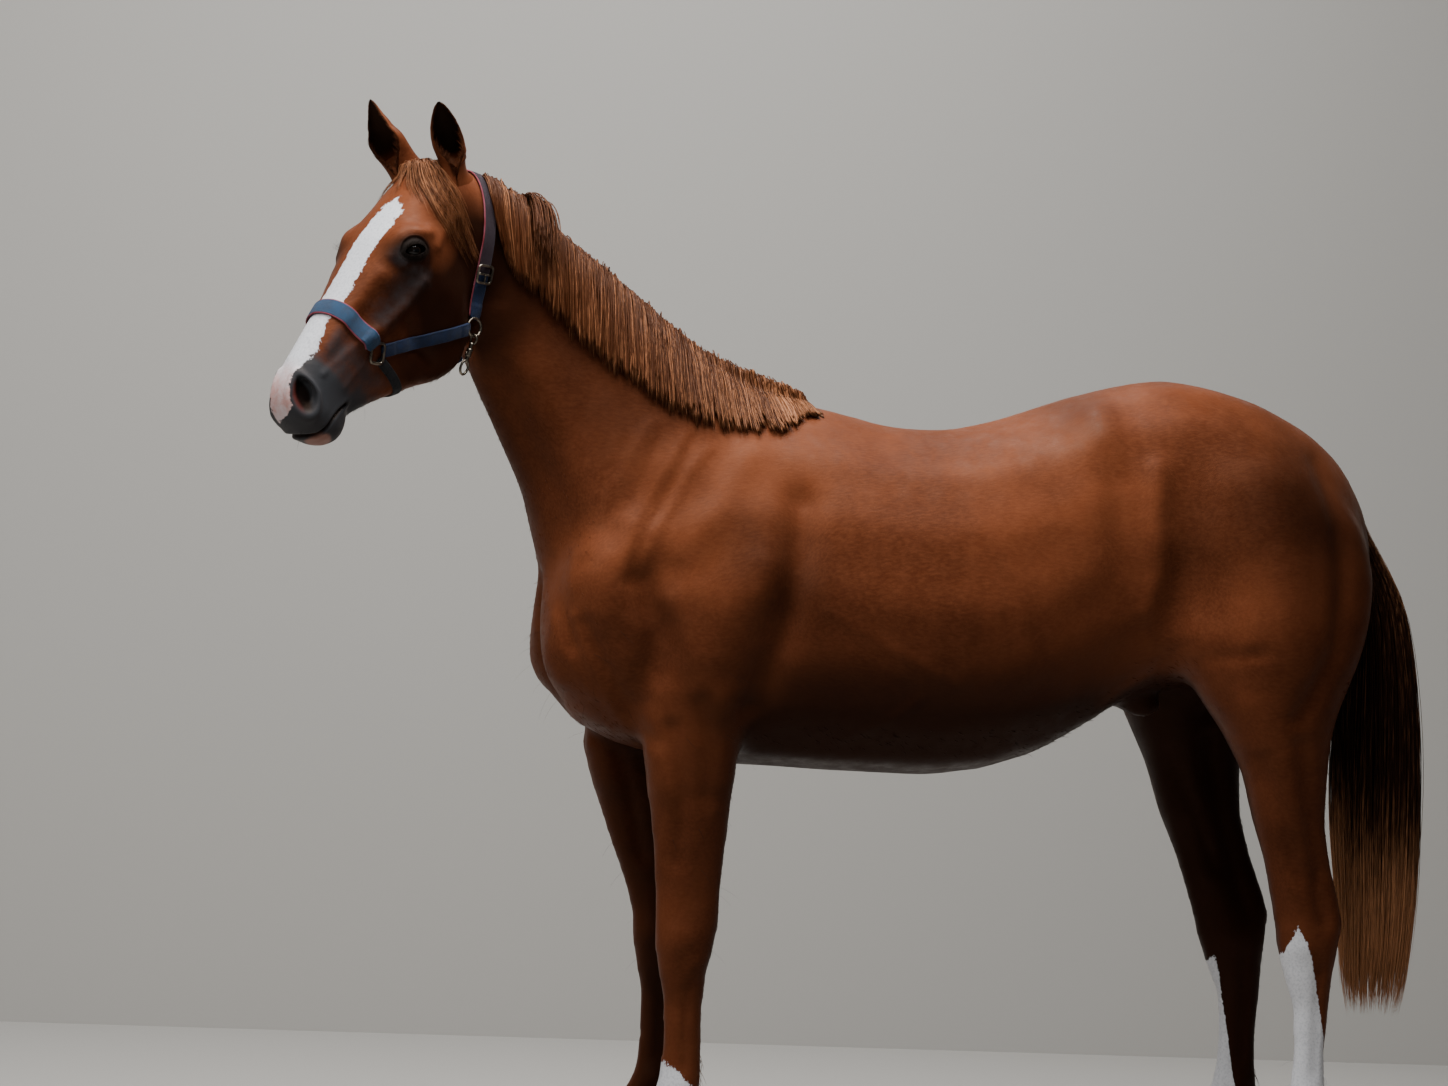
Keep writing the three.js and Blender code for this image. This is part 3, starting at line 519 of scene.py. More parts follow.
# The almond lines round an opening, in times its edge's distance, and the power of their arch.
LID_ROWS = [2.6, 2.4, 2.2, 2.05, 1.9, 1.75, 1.6, 1.45, 1.32, 1.2, 1.1, 1.03, 1.0]
LID_COLUMNS = 84
ARCH, ARCH_POWER = 2.2, 0.62
MOUND_TOP, MOUND_FALL = 0.0150, 6.0  # the orbit's own dome, under the lids


class EyeFrame:
    """The axes of one eye: forward along the opening, up across it, and out of the head."""

    def __init__(self, hand):
        self.centre = on_head(EYE_ALONG, hand * (EYE_SIDE - EYE_SUNK), EYE_FACE)
        out = 0.16 * ALONG + 0.97 * hand * SIDE + 0.16 * FACE
        self.out = out / np.linalg.norm(out)
        forward = math.cos(EYE_SLANT) * ALONG + math.sin(EYE_SLANT) * FACE
        forward -= forward @ self.out * self.out
        self.forward = forward / np.linalg.norm(forward)
        self.up = np.cross(self.out, self.forward) * hand
        if self.up @ FACE < 0:
            self.up = -self.up

    def places(self, points):
        away = points - self.centre
        return away @ self.forward, away @ self.up, away @ self.out

    def close(self, points, reach=EYE_REACH):
        return np.linalg.norm(points - self.centre, axis=1) < reach

    def spread(self, forward, up):
        """The places so far forward and up from the eye's centre."""
        return self.centre + np.outer(forward, self.forward) + np.outer(up, self.up)


def lid_halves(row, up):
    """The half sizes of the almond line that is so many times as far out as the opening's edge."""
    half = np.where(up > 0, OPENING_UP, OPENING_DOWN)
    half_up = half * (1 + (row - 1) * 0.95) + np.clip(row - 1, 0, 1) * 0.004
    return OPENING_HALF * (1 + (row - 1) * 0.45), half_up


def lid_row(forward, up):
    """Which almond line round the opening a place lies on: 1 at its edge."""
    steps = np.linspace(0.6, 3.4, 71)
    half_forward, half_up = lid_halves(steps[None], up[:, None])
    reach = (np.abs(up)[:, None] / half_up) ** (1 / ARCH_POWER)
    reach = reach + (np.abs(forward)[:, None] / half_forward) ** ARCH
    return steps[np.clip((reach > 1).sum(axis=1), 0, len(steps) - 1)]


def smooth_over(gap, soft):
    """The gap where it is positive, nothing where it is negative, rounded between."""
    return soft * np.log1p(np.exp(np.clip(gap / soft, -30, 30)))


def orbit(points, eye):
    """Brings skin round the eyeball: the lids bulge over it, with folds above and below."""
    points = points.copy()
    close = eye.close(points)
    forward, up, out = eye.places(points[close])
    away = np.hypot(forward, up)
    near = ramp(away, 0.052, 0.022) * (out > -0.03)
    reach = EYE_RADIUS + LID
    dome = np.sqrt(np.maximum(reach ** 2 - (0.80 * forward) ** 2 - (0.94 * up) ** 2, 0))
    mound = MOUND_TOP - MOUND_FALL * (forward ** 2 + up ** 2)
    out_mound = out + smooth_over(mound - out, 0.004) * ramp(away, 0.060, 0.040)
    rise = smooth_over(dome - out_mound, 0.005) * (dome > 0) * near + (out_mound - out) * (out > -0.03)
    row = lid_row(forward, up)
    upper = ramp(up, 0.0, 0.006)
    crease = -0.0019 * upper * bell(row - 1.72, 0.15) - 0.0009 * (1 - upper) * bell(row - 1.8, 0.18)
    fold = 0.0010 * upper * bell(row - 2.15, 0.24) + 0.0006 * (1 - upper) * bell(row - 2.3, 0.3)
    brow = 0.0024 * bell(up - 0.034, 0.013) * ramp(np.abs(forward), 0.045, 0.018) * (out > -0.02)
    points[close] += eye.out * (rise + crease + fold + brow)[:, None]
    return points


def press_opening(points, eye):
    """Lowers the skin under the lids' own band, and in the opening to behind the eyeball."""
    points = points.copy()
    close = eye.close(points)
    forward, up, out = eye.places(points[close])
    row = lid_row(forward, up)
    outer = out > -0.02
    deep = ramp(row, 1.22, 1.08) * outer
    shallow = ramp(row, 2.55, 1.75) * outer * 0.0020
    points[close] -= eye.out * (deep * (out + 0.004) + (1 - deep) * shallow)[:, None]
    return points


LID_SKIRT = 0.0012  # how far the band's outer line lies under the skin


def lids(eye, tree, hand):
    """A band from the skin round the eye to the edge of the lids and in to the eyeball."""
    angles = np.linspace(0, 2 * math.pi, LID_COLUMNS, endpoint=False)
    lift = np.sin(angles)
    rows = []
    for row in LID_ROWS:
        half_forward, half_up = lid_halves(row, lift)
        forward = half_forward * np.cos(angles)
        up = half_up * np.copysign(np.maximum(1 - np.abs(np.cos(angles)) ** ARCH, 0) ** ARCH_POWER, lift)
        ring = []
        for start in eye.spread(forward, up) + eye.out * 0.08:
            hit = first_hit(tree, start, -eye.out)
            ring.append(start - eye.out * 0.06 if hit is None else list(hit))
        ring = np.array(ring)
        rows.append(orbit(ring, eye) + eye.out * (0.0002 - LID_SKIRT * ramp(row, 2.15, 2.6)))
    for depth in (0.4, 1.0):
        forward, up, out = eye.places(rows[len(LID_ROWS) - 1])
        ball = np.sqrt(np.maximum(EYE_RADIUS ** 2 - forward ** 2 - up ** 2, 0)) - 0.0012
        inward = 1 - 0.02 * depth
        rows.append(eye.spread(forward * inward, up * inward)
                    + np.outer(out + (ball - out) * depth, eye.out))
    faces = [quad if hand > 0 else quad[::-1] for quad in ring_quads(len(rows), LID_COLUMNS)]
    return np.concatenate(rows), faces


# ---- ears ---------------------------------------------------------------------------------------
# In the head's axes: where each ear starts, where its tip is, and the way it opens.
EARS = {
    LEFT: ((-0.026, 0.058, -0.052), (-0.079, 0.070, 0.070), (0.50, 0.85, 0.05)),
    RIGHT: ((-0.010, -0.060, -0.024), (-0.064, -0.080, 0.104), (0.93, 0.20, 0.0)),
}
# Up an ear: [share of its height, half width, depth, half angle of the wall].
EAR_PROFILE = [
    (-0.20, 0.046, 0.044, 180), (-0.12, 0.037, 0.036, 180), (-0.05, 0.0315, 0.031, 180),
    (0.01, 0.0290, 0.029, 176), (0.08, 0.0282, 0.0285, 158), (0.20, 0.0300, 0.027, 132),
    (0.35, 0.0320, 0.024, 116), (0.50, 0.0305, 0.021, 110), (0.65, 0.0265, 0.017, 104),
    (0.80, 0.0195, 0.012, 98), (0.90, 0.0130, 0.008, 92), (0.96, 0.0078, 0.005, 84),
    (1.00, 0.0022, 0.001, 80),
]
EAR_ROWS, EAR_COLUMNS = 34, 30
EAR_WALL = 0.0030
EAR_CANAL = 0.0262  # the half width inside an ear's foot
EAR_FOOT = 0.10  # below this share of its height an ear's wall runs out onto the head
EAR_EASED = 0.14  # below this one its outline is eased
EAR_INSIDE_SHADE = {LEFT: 1.0, RIGHT: 0.70}  # painted shade inside each ear, stronger on the near one
EAR_BACK_SHADE = {LEFT: 0.42, RIGHT: 0.16}  # and painted shade on its back
EAR_BOW = {LEFT: 0.010, RIGHT: -0.012}
EAR_FLARE = {LEFT: 0.0, RIGHT: 0.32}


def ear_shell(hand, tree):
    """A cupped ear: its outer wall, then its inner one; its foot runs out onto the head."""
    base, tip, opens = EARS[hand]
    foot, top = on_head(*base), on_head(*tip)
    height = np.linalg.norm(top - foot)
    rise = (top - foot) / height
    front = np.array(opens) @ np.stack([ALONG, SIDE, FACE])
    front -= front @ rise * rise
    front /= np.linalg.norm(front)
    across = np.cross(rise, front)
    shares, halves, depths, angles = np.array(EAR_PROFILE).T
    rows = np.interp(np.linspace(0, 1, EAR_ROWS), np.linspace(0, 1, len(shares)), shares)
    turn = np.linspace(-1, 1, EAR_COLUMNS)
    points, inner = [], []
    for wall in (0, 1):
        for share in rows:
            half, depth = np.interp(share, shares, halves), np.interp(share, shares, depths)
            if wall == 1 and share < 0.08:
                half = depth = EAR_CANAL * (0.15 + 0.85 * ramp(share, -0.10, 0.08))
            flare = EAR_FLARE[hand]
            half *= 1 + flare * ramp(share, 0.62, 0.40) - 0.5 * flare * ramp(share, 0.66, 0.80)
            phi = turn * math.radians(np.interp(share, shares, angles))
            thin = EAR_WALL * wall * min(1.0, half / 0.012)
            thin = thin * (1 - 0.75 * np.abs(turn) ** 6)
            bow = EAR_BOW[hand] * math.sin(math.pi * max(share, 0)) - 0.004 * share
            centre = foot + rise * height * share - front * bow
            place = (centre + np.outer(np.sin(phi) * (half - thin), across)
                     - np.outer(np.cos(phi) * (depth - thin), front))
            if wall == 0 and share < EAR_FOOT:
                onto = np.clip((EAR_FOOT - share) / 0.18, 0, 1) ** 0.9
                hits = [tree.find_nearest(point) for point in place.tolist()]
                skin_place = np.array([hit[0] - hit[1] * 0.0012 for hit in hits])
                place = place * (1 - onto) + skin_place * onto
            points.append(place)
            # Painted shade: dark inside each ear and on its back, darkest at the tip.
            tone = EAR_INSIDE_SHADE[hand] * wall * ramp(share, 0.0, 0.3)
            tone += EAR_BACK_SHADE[hand] * ramp(share, -0.05, 0.25)
            inner.append(np.full(EAR_COLUMNS, min(tone + 0.35 * ramp(share, 0.85, 1.0), 1.0)))
    foot_rows = int((rows < EAR_EASED).sum())
    outside = np.array(points[:EAR_ROWS])
    for _ in range(40):
        below, above = outside[:foot_rows - 1], outside[2:foot_rows + 1]
        outside[1:foot_rows] = (below + 2 * outside[1:foot_rows] + above) / 4
    points = np.concatenate([*outside, *points[EAR_ROWS:]])
    return points, ear_faces(), np.concatenate(inner)


def ear_faces():
    """Both walls' faces, then those that join them down the edges, at the foot and at the tip."""
    faces = []
    sheet = EAR_ROWS * EAR_COLUMNS

    def add(a, step, up, flip):
        quad = [a, a + step, a + step + up, a + up]
        faces.append(quad[::-1] if flip else quad)
    for wall in (0, 1):
        for row in range(EAR_ROWS - 1):
            for k in range(EAR_COLUMNS - 1):
                add(wall * sheet + row * EAR_COLUMNS + k, 1, EAR_COLUMNS, wall == 1)
    for row in range(EAR_ROWS - 1):
        for k, flip in ((0, True), (EAR_COLUMNS - 1, False)):
            add(row * EAR_COLUMNS + k, sheet, EAR_COLUMNS, flip)
    for row, flip in ((0, False), (EAR_ROWS - 1, True)):
        for k in range(EAR_COLUMNS - 1):
            add(row * EAR_COLUMNS + k, sheet, 1, flip)
    return faces


# ---- markings -----------------------------------------------------------------------------------
# The blaze's edges down the face: [along, right edge, left edge].
BLAZE = [
    (0.096, 0.016, 0.018), (0.112, 0.004, 0.030), (0.124, -0.003, 0.047), (0.136, -0.008, 0.048),
    (0.151, -0.011, 0.044), (0.170, -0.015, 0.051), (0.199, -0.021, 0.046), (0.235, -0.023, 0.037),
    (0.300, -0.024, 0.037), (0.360, -0.026, 0.034), (0.399, -0.028, 0.027), (0.437, -0.029, 0.033),
    (0.469, -0.030, 0.036), (0.492, -0.028, 0.032), (0.513, -0.026, 0.026), (0.537, -0.024, 0.023),
    (0.555, -0.024, 0.024), (0.567, -0.026, 0.030), (0.584, -0.024, 0.031), (0.606, -0.022, 0.030),
]
# Its left edge down the front of the muzzle: [face, left edge].
BLAZE_END = [(-0.086, -0.016), (-0.076, -0.004), (-0.068, 0.011), (-0.058, 0.029), (-0.042, 0.050)]
LIP_SPOT = (0.586, 0.020, -0.152)


def blaze_field(points):
    """Metres inside the blaze; negative outside it."""
    along, side, face = head_places(points).T
    stations, right, left = np.array(BLAZE).T
    inside = np.minimum(side - np.interp(along, stations, right), np.interp(along, stations, left) - side)
    inside = np.minimum(inside, along - stations[0])
    inside = np.minimum(inside, np.interp(face, *np.array(BLAZE_END).T) - side)
    inside = np.minimum(inside, (face + 0.082) * 0.6)
    inside *= 0.45 + 0.55 * ramp(along, 0.11, 0.19)
    return np.where((along < 0.7) & (face > -0.2), inside, -1.0)


# White on the legs: [x, front y, rear y at the cannon, height in front, height behind].
STOCKINGS = [
    (0.137, 1.175, 1.262, 0.585, 0.30),
    (-0.137, 1.093, 1.168, 0.505, 0.10),
    (0.129, -0.102, -0.02, 0.275, 0.20),
]


def stocking_field(points):
    x, y, z = (points - ORIGIN).T
    best = np.full(len(points), -1.0)
    for place, front, rear, top_front, top_rear in STOCKINGS:
        back = np.clip((y - front) / (rear - front), -0.4, 1.2)
        top = top_front + (top_rear - top_front) * np.clip(back, 0, 1) ** 1.6 - 0.25 * np.clip(-back, 0, 1)
        near = (np.abs(x - place) < 0.09) & (np.abs(y - (front + rear) / 2) < 0.30)
        best = np.maximum(best, np.where(near, top - z, -1.0))
    return best * 0.5


# Painted shade on the head, as (along, face): behind the ear, the brow and the eye.
TEMPLE_SHADE = [(0.02, -0.11), (0.08, -0.18), (0.15, -0.185), (0.225, -0.165)]
# Painted shade in the hollow under the face's crest.
CREST_HOLLOW = [(0.225, -0.095), (0.275, -0.085), (0.33, -0.090)]
# Painted shade on the body, in its muscle hollows and on the rump, shoulder and neck: [y, z, reach, share];
# a negative share lightens it, a painted highlight.
PAINTED_SHADE_PATCHES = [(1.12, 1.45, 0.120, 0.75), (-0.26, 1.55, 0.100, 0.60), (-0.38, 1.70, 0.070, 0.55),
                (0.03, 1.28, 0.070, 0.42), (0.11, 1.20, 0.050, 0.45), (-0.165, 1.14, 0.045, 0.45),
                (0.68, 1.585, 0.045, 0.35), (0.90, 1.36, 0.060, 0.25), (0.93, 1.155, 0.055, -0.40),
                (0.60, 1.36, 0.120, -0.08)]


def coat_fields(points, normals):
    """What the coat's material reads at each point, each field from 0 to 1, but white in metres."""
    x, y, z = (points - ORIGIN).T
    along, side, face = head_places(points).T
    head = head_share(points)
    blaze = blaze_field(points)
    white = np.maximum(np.where(head > 0.5, blaze, -1.0), stocking_field(points))
    sides = ramp(np.abs(side), 0.025, 0.05)
    muzzle = np.maximum(ramp(along, 0.42, 0.52), 0.62 * ramp(along, 0.34, 0.44) * sides) * head
    chin = ramp(along, 0.36, 0.50) * ramp(face, -0.10, -0.16) * head
    eyes, lid, around = np.zeros((3, len(points)))
    for eye in eye_frames:
        forward, up, _ = eye.places(points)
        close = eye.close(points, 0.075)
        lid[close] = np.maximum(lid[close], 0.9 * ramp(lid_row(forward[close], up[close]), 3.0, 1.1))
        # Round each eye the coat goes to shadow brown: partly the eye's own dark skin, partly painted
        # shade.
        near = np.hypot((forward - 0.010) * 0.72, up + 0.003)
        around = np.maximum(around, ramp(near, 0.050, 0.018) * close)
        ahead = np.hypot((forward - 0.030) * 0.8, up + 0.008)
        eyes = np.maximum(eyes, 0.55 * ramp(ahead, 0.040, 0.006) * close)
    plane = np.stack([along, face], axis=1)
    # Painted shade under the face's crest, part brown and part grey, and behind the ear and the brow.
    crest_shade = bell(line_distance(plane, CREST_HOLLOW), 0.034) * head
    temple = bell(line_distance(plane, TEMPLE_SHADE), 0.045) * ramp(along, -0.06, 0.0) * head
    dark = np.maximum.reduce([muzzle, chin * 0.9, eyes, crest_shade * 0.5 * sides])
    ring = nostril_place(along, face)
    # Painted shade in the nostrils and along the mouth's line.
    hollow = ramp(ring, 1.0, 0.72) * ramp(np.abs(side), 0.012, 0.02) * head
    flesh = ramp(nostril_turn(along, face), 0.1, 0.8) * bell(ring - 0.80, 0.17)
    flesh = flesh * ramp(along, 0.5, 0.55) * head
    lip = ramp(np.linalg.norm(head_places(points) - LIP_SPOT, axis=1), 0.040, 0.014) * head
    slit = bell(line_distance(plane, MOUTH), MOUTH_WIDTH) * head
    hollow = np.maximum(hollow, slit)
    pink = ramp(along, 0.49, 0.56) * head
    # The shade field is painted shade: darker under the body, on the legs' inner sides, on the far legs,
    # the cheek, the rump, the belly, round the eyes, under the face's crest and behind the ears; also a
    # little darker lower down the legs.
    under = np.maximum(-normals[:, 2], 0)
    inner = np.maximum(-normals[:, 0] * np.sign(x), 0) * ramp(z, 1.25, 1.0) * (1 - head)
    low = ramp(z, 1.25, 0.85) * (1 - head)
    cheek = ramp(face, -0.08, -0.22) * ramp(along, 0.42, 0.36) * sides * head
    far = ramp(z, 1.10, 0.95) * (x < 0) * (1 - head) * (0.4 + 1.3 * ramp(y, 0.6, 0.8))
    rear = ramp(y, 1.02, 1.22) * ramp(z, 1.50, 1.36) * (1 - head)
    belly = ramp(z, 1.24, 0.93) * ramp(y, -0.25, 0.10) * ramp(y, 0.92, 0.70)
    shade = np.clip(0.55 * under * (1 - head) + 0.4 * inner + 0.06 * low + 0.40 * far + 0.85 * cheek
                    + 0.38 * rear + 0.75 * belly + around + 0.8 * crest_shade * sides
                    + 0.7 * temple * sides, 0, 1)
    for middle_y, middle_z, reach, share in PAINTED_SHADE_PATCHES:
        patch = bell(np.hypot(y - middle_y, z - middle_z), reach)
        shade = np.clip(shade + share * patch * (1 - head), 0, 1)
    # Painted shadow between the belly and the thighs.
    groin = ramp(y, 0.56, 0.70) * ramp(z, 1.16, 1.04) * ramp(np.abs(x), 0.19, 0.11)
    shade = np.maximum(shade, groin)
    in_nostril = (head > 0.5) & (ring < 1.12) & (np.abs(side) > 0.012)
    white = np.where(in_nostril, np.minimum(white, -0.02), white)
    return {"white": white, "pink": pink, "dark": dark, "shade": shade, "hollow": hollow,
            "flesh": flesh, "lip": lip, "lid": lid}


# ---- materials ----------------------------------------------------------------------------------
class Look:
    """A material and short ways to add and join its nodes."""

    def __init__(self, name):
        self.material = bpy.data.materials.new(name)
        self.material.use_nodes = True
        self.tree = self.material.node_tree
        self.shader = self.tree.nodes["Principled BSDF"]
        self.place = self.node("ShaderNodeTexCoord").outputs["Object"]

    def node(self, kind, **settings):
        made = self.tree.nodes.new(kind)
        for name, value in settings.items():
            setattr(made, name, value)
        return made

    def join(self, source, socket):
        self.tree.links.new(source, socket)

    def feed(self, value, socket):
        """Sets a socket to a number or a colour, or joins another node's output to it."""
        if isinstance(value, (int, float)):
            socket.default_value = value
        elif isinstance(value, tuple):
            socket.default_value = (*value, 1)
        else:
            self.join(value, socket)

    def field(self, name):
        return self.node("ShaderNodeAttribute", attribute_name=name).outputs["Fac"]

    def noise(self, scale, detail=3, roughness=0.55, stretch=(1, 1, 1), turn=(0, 0, 0)):
        mapping = self.node("ShaderNodeMapping")
        mapping.inputs["Scale"].default_value = stretch
        mapping.inputs["Rotation"].default_value = turn
        self.join(self.place, mapping.inputs["Vector"])
        made = self.node("ShaderNodeTexNoise")
        made.inputs["Scale"].default_value = scale
        made.inputs["Detail"].default_value = detail
        made.inputs["Roughness"].default_value = roughness
        self.join(mapping.outputs["Vector"], made.inputs["Vector"])
        return made.outputs["Fac"]

    def maths(self, operation, a, b):
        made = self.node("ShaderNodeMath", operation=operation)
        for socket, value in zip(made.inputs, (a, b)):
            self.feed(value, socket)
        return made.outputs["Value"]

    def swayed(self, value, noise, amount):
        """The value made uneven by a noise."""
        return self.maths("ADD", value, self.maths("MULTIPLY", self.maths("SUBTRACT", noise, 0.5), amount))

    def span(self, value, low, high, to_low=0.0, to_high=1.0):
        made = self.node("ShaderNodeMapRange", interpolation_type="SMOOTHSTEP")
        self.join(value, made.inputs["Value"])
        names = ("From Min", "From Max", "To Min", "To Max")
        for name, number in zip(names, (low, high, to_low, to_high)):
            made.inputs[name].default_value = number
        return made.outputs["Result"]

    def mix(self, share, a, b):
        made = self.node("ShaderNodeMix", data_type="RGBA")
        for index, value in ((0, share), (6, a), (7, b)):
            self.feed(value, made.inputs[index])
        return made.outputs[2]

    def layered(self, colour, layers):
        """Colours laid over one another, each by its share: [share, colour]."""
        for share, over in layers:
            colour = self.mix(share, colour, over)
        return colour

    def bump(self, height, distance, strength=1.0, under=None):
        made = self.node("ShaderNodeBump")
        made.inputs["Distance"].default_value = distance
        made.inputs["Strength"].default_value = strength
        self.join(height, made.inputs["Height"])
        if under is not None:
            self.join(under, made.inputs["Normal"])
        return made.outputs["Normal"]

    def finish(self, colour, roughness, normal=None, **plain):
        for value, name in ((colour, "Base Color"), (roughness, "Roughness")):
            self.feed(value, self.shader.inputs[name])
        if normal is not None:
            self.join(normal, self.shader.inputs["Normal"])
        for name, value in plain.items():
            self.shader.inputs[name.replace("_", " ")].default_value = value
        return self.material


eye_frames = [EyeFrame(LEFT), EyeFrame(RIGHT)]


def make_skin():
    """The whole skin, with lids and ears; also the painted shade on its ears and its faces without ears."""
    points, faces = flesh_skin()
    for inside in (on_whole_head, on_fine_head):
        points, faces = refined(points, faces, inside)
        web = Web(len(points), faces)
        share = 0.5 * head_share(points)
        points = web.relaxed(points, share, 2)
    points = sculpt_body(points, vertex_normals(points, faces))
    points = sculpt_head(points, vertex_normals(points, faces))
    before = surface_tree(points, faces)
    bands = [lids(eye, before, hand) for eye, hand in zip(eye_frames, (LEFT, RIGHT))]
    for eye in eye_frames:
        points = press_opening(orbit(points, eye), eye)
    inner = np.zeros(len(points))
    bare = len(faces) + sum(len(band_faces) for _, band_faces in bands)
    shells = [ear_shell(hand, before) for hand in (LEFT, RIGHT)]
    for more_points, more_faces, more_inner in [(*band, np.zeros(len(band[0]))) for band in bands] + shells:
        start = len(points)
        points = np.concatenate([points, more_points])
        inner = np.concatenate([inner, more_inner])
        faces = list(faces) + [[corner + start for corner in face] for face in more_faces]
    return points, faces, inner, bare


skin_points, skin_faces, ear_shade, bare_count = make_skin()
skin = make_mesh("skin", skin_points, skin_faces)
skin_normals = vertex_normals(skin_points, skin_faces)
skin_fields = coat_fields(skin_points, skin_normals)
skin_fields["ear"] = ear_shade
attributes(skin, skin_fields)
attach(skin, "root")
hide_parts(*FLESH, "tail_dock", "ear_left", "ear_right")


# ---- eyeballs -----------------------------------------------------------------------------------
EYE_RINGS, EYE_SPOKES = 40, 56
CORNEA = 0.0009  # how far the clear front stands out
MILLIMETRES = 1000


def eyeball(eye, node, material):
    """A ball with its pole looking out; its fields are places across the iris."""
    tilt = np.linspace(0, math.pi, EYE_RINGS + 1)[1:-1, None]
    turn = np.linspace(0, 2 * math.pi, EYE_SPOKES, endpoint=False)[None]
    reach = EYE_RADIUS + CORNEA * ramp(tilt, 0.62, 0.30)
    forward, up = reach * np.sin(tilt) * np.cos(turn), reach * np.sin(tilt) * np.sin(turn)
    out = reach * np.cos(tilt) * np.ones_like(turn)
    local = np.stack([forward, up, out], axis=-1).reshape(-1, 3)
    local = np.concatenate([local, [[0, 0, EYE_RADIUS + CORNEA], [0, 0, -EYE_RADIUS]]])
    points = eye.centre + local @ np.stack([eye.forward, eye.up, eye.out])
    faces = [[a, d, c, b] for a, b, c, d in ring_quads(EYE_RINGS - 1, EYE_SPOKES)]
    last = (EYE_RINGS - 2) * EYE_SPOKES
    for k in range(EYE_SPOKES):
        faces.append([k, (k + 1) % EYE_SPOKES, len(local) - 2])
        faces.append([last + (k + 1) % EYE_SPOKES, last + k, len(local) - 1])
    handed = np.cross(eye.forward, eye.up) @ eye.out
    if handed < 0:
        faces = [face[::-1] for face in faces]
    obj = make_mesh(node + "_ball", points, faces)
    attributes(obj, {"forward": local[:, 0] * MILLIMETRES, "up": local[:, 1] * MILLIMETRES})
    place_piece(obj, [node], material)


PUPIL_WIDE, PUPIL_HIGH = 0.14, 0.28  # one over its half sizes in millimetres
IRIS_SPOKES = 47
IRIS_BROWN = (0.010, 0.0045, 0.0022)
IRIS_DARK = (0.0030, 0.0018, 0.0014)
PUPIL = (0.0015, 0.0015, 0.002)


def eye_look():
    """A dark brown iris with its spokes, and a long level pupil, under a clear coat."""
    look = Look("eye")
    forward, up = look.field("forward"), look.field("up")
    wide = look.maths("MULTIPLY", forward, PUPIL_WIDE)
    high = look.maths("MULTIPLY", up, PUPIL_HIGH)
    pupil = look.maths("ADD", look.maths("MULTIPLY", wide, wide), look.maths("MULTIPLY", high, high))
    squares = look.maths("ADD", look.maths("MULTIPLY", forward, forward), look.maths("MULTIPLY", up, up))
    away = look.maths("SQRT", squares, 0)
    turn = look.maths("ARCTAN2", up, forward)
    spokes = look.maths("SINE", look.maths("MULTIPLY", turn, IRIS_SPOKES), 0)
    cloud = look.noise(700, 4, 0.7)
    streak = look.maths("ADD", look.maths("MULTIPLY", spokes, 0.25), cloud)
    colour = look.mix(look.span(streak, 0.2, 0.9), IRIS_DARK, IRIS_BROWN)
    colour = look.mix(look.span(away, 12.5, 15.5), colour, IRIS_DARK)
    colour = look.mix(look.span(pupil, 0.85, 1.05), PUPIL, colour)
    return look.finish(colour, 0.12, None, Coat_Weight=0.35, Coat_Roughness=0.04, IOR=1.36)


eye_material = eye_look()
for eye, node in zip(eye_frames, ("eye_left", "eye_right")):
    eyeball(eye, node, eye_material)


# ---- hooves -------------------------------------------------------------------------------------
HOOF_CELL = 0.0034
HOOF_RING_STEP, HOOF_RING_RISE = 0.0085, 0.0005  # the growth rings round the wall
# How pale each hoof's horn is.
HOOVES = {"fore_hoof_left": 0.65, "fore_hoof_right": 0.0, "hind_hoof_left": 1.0, "hind_hoof_right": 0.8}


def make_hoof(node, paleness, material):
    """A hoof with its edges rounded and growth rings round its wall."""
    points, faces = remeshed(*mesh_arrays(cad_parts[node]), HOOF_CELL)
    web = Web(len(points), faces)
    floor = points[:, 2].min()
    share = 0.5 * ramp(points[:, 2] - floor, 0.002, 0.010)
    points = web.relaxed(points, share, 14)
    normals = vertex_normals(points, faces)
    height = points[:, 2] - floor
    wall = ramp(np.abs(normals[:, 2]), 0.8, 0.5) * ramp(height, 0.004, 0.014)
    rings = np.sin(height * 2 * math.pi / HOOF_RING_STEP + 1.5 * np.sin(height * 90))
    points = points + normals * (HOOF_RING_RISE * rings * wall)[:, None]
    obj = make_mesh(node + "_horn", points, faces)
    attributes(obj, {"pale": np.full(len(points), paleness), "height": height * MILLIMETRES})
    place_piece(obj, [node], material)


HORN_DARK = (0.050, 0.040, 0.034)
HORN_PALE = (0.340, 0.260, 0.180)
HORN_RIM = (0.420, 0.360, 0.280)


def horn_look():
    """Horn with upright tubules and level bands, palest at the ground."""
    look = Look("horn")
    tubules = look.noise(260, 4, 0.6, (1, 1, 0.06))
    bands = look.noise(60, 2, 0.5, (0.15, 0.15, 1.6))
    pale = look.maths("ADD", look.field("pale"), look.span(tubules, 0.3, 0.7, -0.22, 0.22))
    colour = look.layered(HORN_DARK, [
        (look.span(pale, 0.0, 1.0), HORN_PALE),
        (look.span(bands, 0.35, 0.7, 0, 0.35), HORN_RIM),
        (look.span(look.field("height"), 12, 2, 0, 0.5), HORN_RIM),
    ])
    normal = look.bump(bands, 0.0009, 0.4, look.bump(tubules, 0.0005, 0.4))
    return look.finish(colour, look.span(bands, 0.3, 0.7, 0.42, 0.58), normal)


horn_material = horn_look()
for node, paleness in HOOVES.items():
    make_hoof(node, paleness, horn_material)


# ---- the unwrap: the skin's own, with each lock's patch at its root -----------------------------
PATCH = 0.003
BAKE_MAP = "OFBake"


